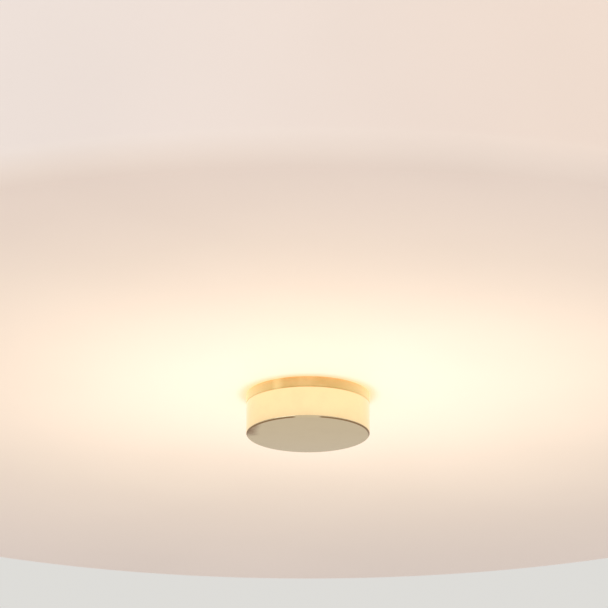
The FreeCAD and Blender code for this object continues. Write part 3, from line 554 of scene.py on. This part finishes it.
CAP_METAL = PlatedMetal("cap_metal", (0.80, 0.79, 0.76), (0.60, 0.59, 0.56), 0.26, (2500.0, 250.0, 2500.0))


# ---- Shaping pieces ----


@dataclass(frozen=True)
class Corner:
    """A corner of a turned outline: how far out, how high, and how far it is rounded back, in millimetres."""

    out: float
    level: float
    round_back: float = 0.0
    steps: int = 4


class Lathe:
    """Turns outlines and winds threads round an upright axis."""

    thread_steps = 7

    def __init__(self, facets: int = 96) -> None:
        """Set how finely it turns.

        Args:
            facets: steps in a full turn.
        """
        self.facets = facets

    def turn(self, shape: Shape, corners: list[Corner], closed: bool = True) -> None:
        """Turn an outline about the Z axis.

        Args:
            shape: the mesh that it is added to.
            corners: the outline, in order.
            closed: whether the last corner joins the first.
        """
        before = set(shape.verts)
        points = [shape.verts.new((corner.out * MM, 0.0, corner.level * MM)) for corner in corners]
        for first, second in zip(points, points[1:]):
            shape.edges.new((first, second))
        if closed:
            shape.edges.new((points[-1], points[0]))
        for point, corner in zip(points, corners):
            if corner.round_back:
                bmesh.ops.bevel(
                    shape,
                    geom=[point],
                    offset=corner.round_back * MM,
                    offset_type="OFFSET",
                    segments=corner.steps,
                    profile=0.5,
                    affect="VERTICES",
                    material=-1,
                )
        outline = [vert for vert in shape.verts if vert not in before]
        edges = {edge for vert in outline for edge in vert.link_edges}
        bmesh.ops.spin(
            shape,
            geom=[*outline, *edges],
            cent=(0, 0, 0),
            axis=(0, 0, 1),
            angle=FULL_TURN,
            steps=self.facets,
            use_merge=True,
        )

    def thread(self, shape: Shape, root: float, crest: float, pitch: float, low: float, high: float) -> None:
        """Wind a screw thread between two levels and close its ends.

        Args:
            shape: the mesh that it is added to.
            root: radius at the bottom of the thread.
            crest: radius at its top.
            pitch: how far it climbs in a turn.
            low: its lower end.
            high: its upper end.
        """
        turns = math.ceil((high - low) / pitch) + 2
        points = []
        for step in range(self.thread_steps + 1):
            share = step / self.thread_steps
            out = root + (crest - root) * 0.5 * (1.0 - math.cos(FULL_TURN * share))
            points.append(shape.verts.new((out * MM, 0.0, (low - pitch + pitch * share) * MM)))
        edges = [shape.edges.new(pair) for pair in zip(points, points[1:])]
        bmesh.ops.spin(
            shape,
            geom=points + edges,
            cent=(0, 0, 0),
            axis=(0, 0, 1),
            dvec=(0, 0, pitch * MM / self.facets),
            angle=FULL_TURN,
            steps=self.facets,
        )
        made = 1
        while made < turns:
            copied = bmesh.ops.duplicate(shape, geom=shape.verts[:] + shape.edges[:] + shape.faces[:])
            raised = [item for item in copied["geom"] if isinstance(item, bmesh.types.BMVert)]
            bmesh.ops.translate(shape, verts=raised, vec=(0, 0, made * pitch * MM))
            made *= 2
        bmesh.ops.remove_doubles(shape, verts=shape.verts[:], dist=MERGE)
        for level, way in ((low, -1), (high, 1)):
            bmesh.ops.bisect_plane(
                shape,
                geom=shape.verts[:] + shape.edges[:] + shape.faces[:],
                plane_co=(0, 0, level * MM),
                plane_no=(0, 0, way),
                clear_outer=True,
            )
        open_edges = [edge for edge in shape.edges if edge.is_boundary]
        bmesh.ops.holes_fill(shape, edges=open_edges, sides=0)

    @staticmethod
    def finish(
        shape: Shape, name: str, finish: Finish, place: Matrix | None = None, sharp: float = 40.0
    ) -> Piece:
        """Close a shape up and make it an object.

        Args:
            shape: the mesh.
            name: the piece's name.
            finish: its finish.
            place: where it goes, if not where it was drawn.
            sharp: edges that turn more than this many degrees stay sharp.

        Returns:
            The finished piece.
        """
        bmesh.ops.remove_doubles(shape, verts=shape.verts[:], dist=MERGE)
        bmesh.ops.dissolve_degenerate(shape, edges=shape.edges[:], dist=SLIVER)
        bmesh.ops.recalc_face_normals(shape, faces=shape.faces[:])
        if place is not None:
            bmesh.ops.transform(shape, matrix=place, verts=shape.verts[:])
        return dress(name, as_mesh(shape, name), finish, sharp)


def as_mesh(shape: Shape, name: str) -> bpy.types.Mesh:
    """Turn a shape into a mesh and let the shape go.

    Args:
        shape: the shape.
        name: the mesh's name.

    Returns:
        The mesh.
    """
    mesh = bpy.data.meshes.new(name)
    shape.to_mesh(mesh)
    shape.free()
    return mesh


def put(name: str, data: bpy.types.ID) -> Piece:
    """Put a mesh, a lamp or a camera in the scene.

    Args:
        name: the object's name.
        data: what it holds.

    Returns:
        The object.
    """
    made = bpy.data.objects.new(name, data)
    bpy.context.scene.collection.objects.link(made)
    return made


def at(across: float, along: float, level: float) -> Matrix:
    """A place in the fitting, not turned.

    Args:
        across: X in millimetres.
        along: Y in millimetres.
        level: Z in millimetres.

    Returns:
        The place.
    """
    return Matrix.Translation(Vector((across, along, level)) * MM)


def dress(name: str, mesh: bpy.types.Mesh, finish: Finish, sharp: float) -> Piece:
    """Make a mesh an object with smooth shading and one finish.

    Args:
        name: the piece's name.
        mesh: its mesh.
        finish: its finish.
        sharp: edges that turn more than this many degrees stay sharp.

    Returns:
        The piece.
    """
    mesh.polygons.foreach_set("use_smooth", [True] * len(mesh.polygons))
    mesh.set_sharp_from_angle(angle=math.radians(sharp))
    mesh.materials.clear()
    mesh.materials.append(finish.mix())
    return put(name, mesh)


def settle(piece: Piece, body: str, slot: str, *nodes: str) -> None:
    """Let a piece ride with its body, in place of its nodes.

    Args:
        piece: the finished piece.
        body: the body that it moves with.
        slot: not used.
        nodes: the nodes that it replaces.
    """
    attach(piece, body)
    if nodes:
        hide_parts(*nodes)
    LOG.info("%s: %d faces, rides on %s", piece.name, len(piece.data.polygons), body)


def ease(node: str, name: str, finish: Finish, slot: str, edge: float) -> None:
    """Show a node of the fixture with eased edges, for pressed, moulded and fired pieces.

    Args:
        node: the node that is copied and replaced.
        name: the piece's name.
        finish: its finish.
        slot: a material slot's name, passed on to settle.
        edge: how far the edges are eased, in millimetres.
    """
    shape = bmesh.new()
    shape.from_mesh(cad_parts[node].data)
    bmesh.ops.remove_doubles(shape, verts=shape.verts[:], dist=MERGE)
    bmesh.ops.dissolve_limit(
        shape, angle_limit=FLAT, verts=shape.verts[:], edges=shape.edges[:], use_dissolve_boundaries=False
    )
    hard = [item for item in shape.edges if item.is_manifold and item.calc_face_angle(0.0) > HARD]
    bmesh.ops.bevel(
        shape,
        geom=hard,
        offset=edge * MM,
        offset_type="OFFSET",
        segments=2,
        profile=0.5,
        affect="EDGES",
        clamp_overlap=True,
        material=-1,
    )
    settle(dress(name, as_mesh(shape, name), finish, sharp=20.0), "fixture", slot, node)


def repaint(node: str, finish: Finish) -> None:
    """Give a node that keeps its own shape a finish.

    Args:
        node: the node.
        finish: its finish.
    """
    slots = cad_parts[node].data.materials
    slots.clear()
    slots.append(finish.mix())


# ---- Glass, washer and finial ----


@dataclass
class Shade:
    """The opal drum with its bush, amber washer and brass finial."""

    radius: float = 200.0
    wall: float = 4.0
    top: float = -3.2
    bottom: float = -107.2
    corner: float = 8.0
    hole: float = 7.2
    washer_radius: float = 17.5
    washer_bottom: float = -110.2
    finial_bottom: float = -119.2
    finial_edge: float = 0.55
    rod_bore: float = 5.03
    rod_clearance: float = 5.3
    bore_end: float = -117.4
    lathe = Lathe(256)

    def build(self) -> None:
        """Make the glass, washer and finial, and dress the bush."""
        self.glass()
        self.washer()
        self.finial()
        repaint("glass_bush", NYLON)

    def glass(self) -> None:
        """The drum: a blown wall with a rounded lower corner and a fire-polished top edge."""
        floor = self.bottom + self.wall
        inside = self.radius - self.wall
        inner_corner = self.corner - self.wall
        shape = bmesh.new()
        self.lathe.turn(
            shape,
            [
                Corner(self.hole, self.bottom, 0.4, 2),
                Corner(self.radius, self.bottom, self.corner, 14),
                Corner(self.radius, self.top, 1.4, 4),
                Corner(inside, self.top, 1.4, 4),
                Corner(inside, floor, inner_corner, 8),
                Corner(self.hole, floor, 0.4, 2),
            ],
        )
        piece = self.lathe.finish(shape, "shade_glass", GLASS, sharp=60.0)
        settle(piece, "shade", "opal_glass", "glass_shade")

    def washer(self) -> None:
        """The amber washer, with its outer edges just broken."""
        shape = bmesh.new()
        self.lathe.turn(
            shape,
            [
                Corner(self.rod_clearance, self.washer_bottom),
                Corner(self.washer_radius, self.washer_bottom, 0.3, 3),
                Corner(self.washer_radius, self.bottom, 0.3, 3),
                Corner(self.rod_clearance, self.bottom),
            ],
        )
        piece = self.lathe.finish(shape, "washer_amber", AMBER)
        settle(piece, "tint", "amber", "finial_washer")

    def finial(self) -> None:
        """The brass disc with a blind bore and a small round along its lower edge."""
        shape = bmesh.new()
        self.lathe.turn(
            shape,
            [
                Corner(0.0, self.finial_bottom),
                Corner(self.washer_radius, self.finial_bottom, self.finial_edge, 6),
                Corner(self.washer_radius, self.washer_bottom, 0.25, 3),
                Corner(self.rod_bore, self.washer_bottom, 0.4, 1),
                Corner(self.rod_bore, self.bore_end),
                Corner(0.0, self.bore_end - 0.1),
            ],
            closed=False,
        )
        piece = self.lathe.finish(shape, "finial_disc", BRASS, sharp=60.0)
        settle(piece, "finial_nut", "polished_brass", "finial")


# ---- Lamps ----


@dataclass
class Bulb:
    """One screw-in bulb: frosted globe and rolled cap. Levels run along the lamp, toward its globe."""

    count: int
    side: int
    drop: float = 45.0
    half_spacing: float = 60.0
    globe_radius: float = 30.0
    globe_end: float = 25.0
    neck: float = 12.6
    cap_start: float = -74.0
    cap_end: float = -49.0
    thread_start: float = -71.5
    thread_end: float = -55.5
    cap_radius: float = 13.2
    thread_root: float = 12.15

    @property
    def place(self) -> Matrix:
        """Where the lamp lies: its axis along +Y."""
        return at(self.side * self.half_spacing, 0.0, -self.drop) @ FORWARDS

    def build(self) -> None:
        """Make the globe and the cap, and dress the insulator and the contact."""
        self.globe()
        self.cap()
        repaint(f"bulb_insulator_{self.count}", BLACK_GLASS)
        repaint(f"bulb_contact_{self.count}", CAP_METAL)

    def globe(self) -> None:
        """The pear-shaped envelope."""
        shape = bmesh.new()
        Lathe(72).turn(
            shape,
            [
                Corner(0.0, self.globe_end),
                Corner(self.globe_radius, self.globe_end, self.globe_radius - 0.01, 24),
                Corner(self.globe_radius, -13.5, 8.4, 10),
                Corner(self.neck + 0.2, -44.0, 4.6, 6),
                Corner(self.neck, self.cap_end),
                Corner(0.0, self.cap_end),
            ],
            closed=False,
        )
        piece = Lathe.finish(shape, f"bulb_glass_{self.count}", FROSTED, self.place)
        settle(piece, f"bulb_{self.count}", "frosted_glass", f"bulb_globe_{self.count}")

    def cap(self) -> None:
        """The rolled screw cap with its plain skirt."""
        shape = bmesh.new()
        lathe = Lathe(40)
        lathe.thread(shape, self.thread_root, self.cap_radius, LAMP_PITCH, self.thread_start, self.thread_end)
        lathe.turn(
            shape,
            [
                Corner(0.0, self.cap_start),
                Corner(11.3, self.cap_start, 0.6, 3),
                Corner(self.thread_root, self.thread_start),
                Corner(0.0, self.thread_start + 0.2),
            ],
            closed=False,
        )
        lathe.turn(
            shape,
            [
                Corner(0.0, self.thread_end - 0.2),
                Corner(self.thread_root, self.thread_end),
                Corner(self.cap_radius - 0.2, self.thread_end + 1.2, 0.4, 3),
                Corner(self.cap_radius, self.cap_end, 0.4, 3),
                Corner(0.0, self.cap_end - 0.1),
            ],
            closed=False,
        )
        piece = Lathe.finish(shape, f"bulb_screw_cap_{self.count}", CAP_METAL, self.place)
        settle(piece, f"bulb_{self.count}", "cap_metal", f"bulb_cap_{self.count}")


@dataclass
class Lampholder:
    """One porcelain lampholder with its shell, contact and bracket."""

    count: int

    def build(self) -> None:
        """Ease the porcelain and the bracket, and dress the brass."""
        ease(f"lampholder_{self.count}", f"porcelain_body_{self.count}", PORCELAIN, "porcelain", 0.5)
        ease(f"holder_bracket_{self.count}", f"bracket_bent_{self.count}", STEEL, "plated_steel", 0.2)
        repaint(f"screw_shell_{self.count}", SHELL_BRASS)
        repaint(f"contact_spring_{self.count}", CONTACT_BRASS)


# ---- Pan, rod and fasteners ----


@dataclass(frozen=True)
class ScrewKind:
    """Sizes of one kind of cross-recessed pan head screw, in millimetres, and shares of those sizes."""

    shank: float
    length: float
    head: float
    height: float
    pitch: float = 0.7
    root_share: float = 0.86
    dome_share: float = 0.7
    top_share: float = 0.98
    arm_share: float = 0.46
    half_share: float = 0.11
    recess_share: float = 0.55
    recess_taper: float = 0.72


@dataclass
class Fasteners:
    """Every screw of the fitting."""

    pan_kind: ScrewKind = ScrewKind(2.0, 6.0, 4.0, 2.6)
    holder_kind: ScrewKind = ScrewKind(1.5, 9.5, 2.8, 2.2, 0.5)
    block_kind: ScrewKind = ScrewKind(1.5, 12.0, 2.8, 2.2, 0.5)
    foot_level: float = -7.7
    tag_level: float = -7.2
    block_level: float = -15.2
    lamp_level: float = -45.0
    foot_along: float = -106.0
    leg_along: float = -93.5
    foot_across: tuple[float, ...] = (52.0, 68.0, -52.0, -68.0)
    leg_across: tuple[float, ...] = (49.5, 70.5, -49.5, -70.5)
    earth_spot: Pair = (32.0, -121.0)
    block_along: float = -107.5
    turn_apart: float = 0.7

    def build(self) -> None:
        """Make the three groups of screws."""
        feet = [at(across, self.foot_along, self.foot_level) for across in self.foot_across]
        feet.append(at(*self.earth_spot, self.tag_level))
        self.group("pan_screw_set", self.pan_kind, feet, "pan_screws")
        legs = [at(across, self.leg_along, self.lamp_level) @ FORWARDS for across in self.leg_across]
        self.group("holder_screw_set", self.holder_kind, legs, "holder_screws")
        block = [at(0.0, self.block_along, self.block_level)]
        self.group("block_screw_set", self.block_kind, block, "block_screw")

    def group(self, name: str, kind: ScrewKind, places: list[Matrix], node: str) -> None:
        """Make one screw at each place a piece.

        Args:
            name: the piece's name.
            kind: the screw's sizes.
            places: where the screws go.
            node: the node that they stand for.
        """
        piece = Lathe.finish(self.gather(kind, places), name, STEEL, sharp=35.0)
        settle(piece, "fixture", "plated_steel", node)

    @staticmethod
    def gather(kind: ScrewKind, places: list[Matrix]) -> Shape:
        """Repeat one screw at each place, each turned a little further than the last.

        Args:
            kind: the screw's sizes.
            places: where the screws go.

        Returns:
            One mesh of them all.
        """
        gathered = bmesh.new()
        for index, place in enumerate(places):
            turned = place @ Matrix.Rotation(Fasteners.turn_apart * index, 4, "Z")
            for part in Fasteners.screw(kind):
                bmesh.ops.transform(part, matrix=turned, verts=part.verts[:])
                loose = as_mesh(part, "loose")
                gathered.from_mesh(loose)
                bpy.data.meshes.remove(loose)
        return gathered

    @staticmethod
    def screw(kind: ScrewKind) -> tuple[Shape, Shape]:
        """One screw that points up, with the underside of its head at the origin.

        Args:
            kind: the screw's sizes.

        Returns:
            Its shank and its head.
        """
        shank, head = bmesh.new(), bmesh.new()
        lathe = Lathe(24)
        lathe.thread(shank, kind.shank * kind.root_share, kind.shank, kind.pitch, 0.0, kind.length)
        lathe.turn(
            head,
            [
                Corner(0.0, -kind.height),
                Corner(kind.head, -kind.height, kind.height * kind.dome_share, 5),
                Corner(kind.head, 0.0),
                Corner(0.0, 0.0),
            ],
            closed=False,
        )
        bmesh.ops.remove_doubles(head, verts=head.verts[:], dist=MERGE)
        bmesh.ops.recalc_face_normals(head, faces=head.faces[:])
        arm, half = kind.head * kind.arm_share * MM, kind.head * kind.half_share * MM
        top_level = -kind.height * kind.top_share * MM
        for reach in (arm, half):
            for axis in (Vector((1, 0, 0)), Vector((0, 1, 0))):
                for way in (1, -1):
                    top = [face for face in head.faces if face.calc_center_median().z < top_level]
                    lines = {edge for face in top for edge in face.edges}
                    points = {vert for face in top for vert in face.verts}
                    items = [*top, *lines, *points]
                    spot = axis * (way * reach)
                    bmesh.ops.bisect_plane(head, geom=items, plane_co=spot, plane_no=axis, dist=SLIVER)
        cross = []
        for face in head.faces:
            spot = face.calc_center_median()
            near, far = sorted((abs(spot.x), abs(spot.y)))
            if spot.z < top_level and near < half and far < arm:
                cross.append(face)
        raised = bmesh.ops.extrude_face_region(head, geom=cross)
        moved = [item for item in raised["geom"] if isinstance(item, bmesh.types.BMVert)]
        bmesh.ops.delete(head, geom=cross, context="FACES")
        bmesh.ops.translate(head, verts=moved, vec=(0, 0, kind.height * kind.recess_share * MM))
        bmesh.ops.scale(head, verts=moved, vec=(kind.recess_taper, kind.recess_taper, 1.0))
        return shank, head


@dataclass
class CeilingPan:
    """The pressed pan with its seal, and the rod with its nuts and washers."""

    rod_radius: float = 5.0
    rod_root: float = 4.45
    rod_pitch: float = 1.0
    rod_end: float = -116.2
    rod_top: float = -3.0

    def build(self) -> None:
        """Ease the pan and the nuts, cut the rod's thread and dress the seal."""
        ease("ceiling_pan", "pan_pressed", ENAMEL, "enamel", 0.25)
        repaint("rim_seal", FOAM)
        shape = bmesh.new()
        Lathe(32).thread(shape, self.rod_root, self.rod_radius, self.rod_pitch, self.rod_end, self.rod_top)
        rod = Lathe.finish(shape, "rod_threaded", STEEL, sharp=70.0)
        settle(rod, "fixture", "plated_steel", "centre_rod")
        ease("rod_nuts", "nut_pair", STEEL, "plated_steel", 0.25)
        ease("rod_washers", "washer_pair", STEEL, "plated_steel", 0.25)


# ---- Wiring ----


@dataclass
class Wiring:
    """Terminal block, earth tag, grommet, clips and the leads between them, in millimetres."""

    lead_radius: float = 1.2
    level: float = -11.6
    slot_floor: float = -28.5
    tag_level: float = -8.4
    block_end: float = 7.5
    tower_end: float = -20.2
    poles: tuple[float, ...] = (-103.0, -112.0, -121.0)
    tower_across: Pair = (5.0, -5.0)
    clamp_kind: ScrewKind = ScrewKind(1.3, 1.5, 2.05, 1.0, 0.5)
    clamp_stands_out: float = 0.4

    def build(self) -> None:
        """Make the leads and the clamp screws, and ease or dress the rest."""
        first, second, last = self.poles
        live = [self._from_block(first, -84.0, 54.0, (23.5, 35.5)), self._joining(-80.0, 54.0)]
        neutral = [self._from_block(second, -88.0, 66.0, (31.5, 43.5)), self._joining(-76.0, 66.0)]
        earth = [(self.block_end, last, self.level), (15.8, last, self.level)]
        earth += [(21.8, last, self.tag_level), (27.0, last, self.tag_level)]
        self.leads("lead_pair_live", live, BROWN_SLEEVE, "lead_brown", "live_leads")
        self.leads("lead_pair_neutral", neutral, BLUE_SLEEVE, "lead_blue", "neutral_leads")
        self.leads("lead_single_earth", [earth], EARTH_SLEEVE, "lead_earth", "earth_lead")
        ease("terminal_block", "block_moulded", BLOCK, "block_plastic", 0.3)
        ease("lead_clips", "clip_pair", NYLON, "nylon", 0.3)
        ease("earth_tag", "tag_stamped", STEEL, "plated_steel", 0.15)
        ease("cable_grommet", "grommet_moulded", RUBBER, "grommet_rubber", 0.35)
        repaint("terminal_inserts", CONTACT_BRASS)
        self.clamp_screws()

    def _from_block(self, pole: float, run: float, drop: float, turns: Pair) -> Route:
        """A lead from a pole of the block down into the first lampholder.

        Args:
            pole: where the pole lies along Y.
            run: where the lead crosses the lampholder, along Y.
            drop: where it goes down, along X.
            turns: X of its two bends.

        Returns:
            The lead's route.
        """
        return [
            (self.block_end, pole, self.level),
            (turns[0], pole, self.level),
            (turns[1], run, self.level),
            (drop, run, self.level),
            (drop, run, self.slot_floor),
        ]

    def _joining(self, run: float, drop: float) -> Route:
        """A lead from one lampholder to the other.

        Args:
            run: where it crosses, along Y.
            drop: how far from the middle it goes down.

        Returns:
            The lead's route.
        """
        near = drop + self.slot_floor - self.level
        return [
            (drop, run, self.slot_floor),
            (drop, run, self.level),
            (near, run, self.level),
            (-near, run, self.level),
            (-drop, run, self.level),
            (-drop, run, self.slot_floor),
        ]

    def leads(self, name: str, routes: list[Route], finish: Finish, slot: str, node: str) -> None:
        """Round leads along smooth lines.

        Args:
            name: the piece's name.
            routes: the points that each lead follows.
            finish: the sleeve's finish.
            slot: a material slot's name, passed on to settle.
            node: the node that the leads stand for.
        """
        line = bpy.data.curves.new(f"{name}_line", "CURVE")
        line.dimensions = "3D"
        line.bevel_depth = self.lead_radius * MM
        line.bevel_resolution = 4
        line.use_fill_caps = True
        for route in routes:
            spline = line.splines.new("NURBS")
            spline.points.add(len(route) - 1)
            for point, spot in zip(spline.points, route):
                point.co = (*(value * MM for value in spot), 1.0)
            spline.order_u = 3
            spline.use_endpoint_u = True
            spline.resolution_u = 10
        drawn = bpy.data.objects.new(f"{name}_line", line)
        mesh = bpy.data.meshes.new_from_object(drawn)
        bpy.data.objects.remove(drawn)
        bpy.data.curves.remove(line)
        settle(dress(name, mesh, finish, 60.0), "fixture", slot, node)

    def clamp_screws(self) -> None:
        """Six small screws, one in each tower of the block, their heads just out of it."""
        level = self.tower_end + self.clamp_kind.height - self.clamp_stands_out
        places = [at(across, along, level) for along in self.poles for across in self.tower_across]
        gathered = Fasteners.gather(self.clamp_kind, places)
        piece = Lathe.finish(gathered, "clamp_screw_heads", CONTACT_BRASS, sharp=30.0)
        settle(piece, "fixture", "contact_brass")


# ---- Studio ----


@dataclass(frozen=True)
class SoftLamp:
    """One large square lamp: its place in metres, its power in watts and its colour."""

    name: str
    spot: Point
    power: float
    colour: Colour
    side: float = 3.6


LAMPS = (
    SoftLamp("soft_left", (-3.4, -3.6, 0.9), 34.0, (0.88, 0.97, 1.0)),
    SoftLamp("soft_right", (3.6, -1.2, 1.6), 25.0, (1.0, 0.86, 0.72)),
    SoftLamp("soft_back", (0.5, 4.6, 2.2), 25.0, (1.0, 1.0, 1.0)),
)


@dataclass
class Studio:
    """A plain pale room: its floor, its light and the camera, in metres."""

    floor_level: float = -4.7
    floor_half: float = 900.0
    floor_colour: Colour = (0.76, 0.69, 0.67)
    room: Colour = (0.73, 0.72, 0.69)
    window_side: Colour = (0.985, 0.972, 0.93)
    window_way: Point = (0.0, -0.93, 0.36)
    window_starts: Pair = (0.55, 0.95)
    lamps_aim: Point = (0.0, 0.0, -0.06)
    camera_spot: Point = (-0.00113, -1.71817, -0.64286)
    camera_pitch: float = 0.31644
    camera_sees: float = 200.0
    focal_pixels: float = 6353.6
    picture: int = 608
    sensor: float = 36.0

    def build(self) -> None:
        """Set up the room."""
        self.world()
        self.floor()
        self.lights()
        self.camera()

    def world(self) -> None:
        """The room round the fitting: pale walls and ceiling, brighter toward the window side."""
        world = bpy.data.worlds.new("pale_room")
        bpy.context.scene.world = world
        world.use_nodes = True
        nodes = Nodes(world.node_tree, "Generated")
        facing = nodes.vector("DOT_PRODUCT", nodes.place, self.window_way)
        window = nodes.between(facing, *self.window_starts)
        background = world.node_tree.nodes["Background"]
        nodes.give(background.inputs["Color"], nodes.blend(window, self.room, self.window_side))

    def floor(self) -> None:
        """The pale floor."""
        shape = bmesh.new()
        size = Matrix.Diagonal((self.floor_half, self.floor_half, 1.0, 1.0))
        place = Matrix.Translation((0.0, 0.0, self.floor_level)) @ size
        bmesh.ops.create_grid(shape, x_segments=1, y_segments=1, size=1.0, matrix=place)
        mesh = as_mesh(shape, "floor")
        recipe = Recipe("floor")
        recipe.set(Base_Color=self.floor_colour, Roughness=0.8)
        mesh.materials.append(recipe.material)
        put("floor", mesh)

    def lights(self) -> None:
        """Three large soft lamps: one from each side of the window, and one from behind."""
        for kind in LAMPS:
            lamp = bpy.data.lights.new(kind.name, "AREA")
            lamp.shape = "SQUARE"
            lamp.size = kind.side
            lamp.energy = kind.power
            lamp.color = kind.colour
            holder = put(kind.name, lamp)
            holder.location = kind.spot
            holder.rotation_mode = "QUATERNION"
            way = Vector(self.lamps_aim) - Vector(kind.spot)
            holder.rotation_quaternion = way.to_track_quat("-Z", "Y")

    def camera(self) -> None:
        """A long lens from below and in front, as the picture was taken."""
        lens = bpy.data.cameras.new("camera")
        lens.sensor_width = self.sensor
        lens.lens = self.focal_pixels / self.picture * self.sensor
        lens.clip_end = self.camera_sees
        camera = put("camera", lens)
        camera.location = self.camera_spot
        camera.rotation_euler = (QUARTER_TURN + self.camera_pitch, 0.0, 0.0)
        bpy.context.scene.camera = camera
        bpy.context.scene.view_settings.view_transform = "Standard"


def main() -> None:
    """Build every sub-assembly, then the room."""
    logging.basicConfig(level=logging.INFO, format="%(message)s")
    CeilingPan().build()
    Fasteners().build()
    for count, side in ((1, 1), (2, -1)):
        Lampholder(count).build()
        Bulb(count, side).build()
    Wiring().build()
    Shade().build()
    Studio().build()


if __name__ == "__main__":
    main()
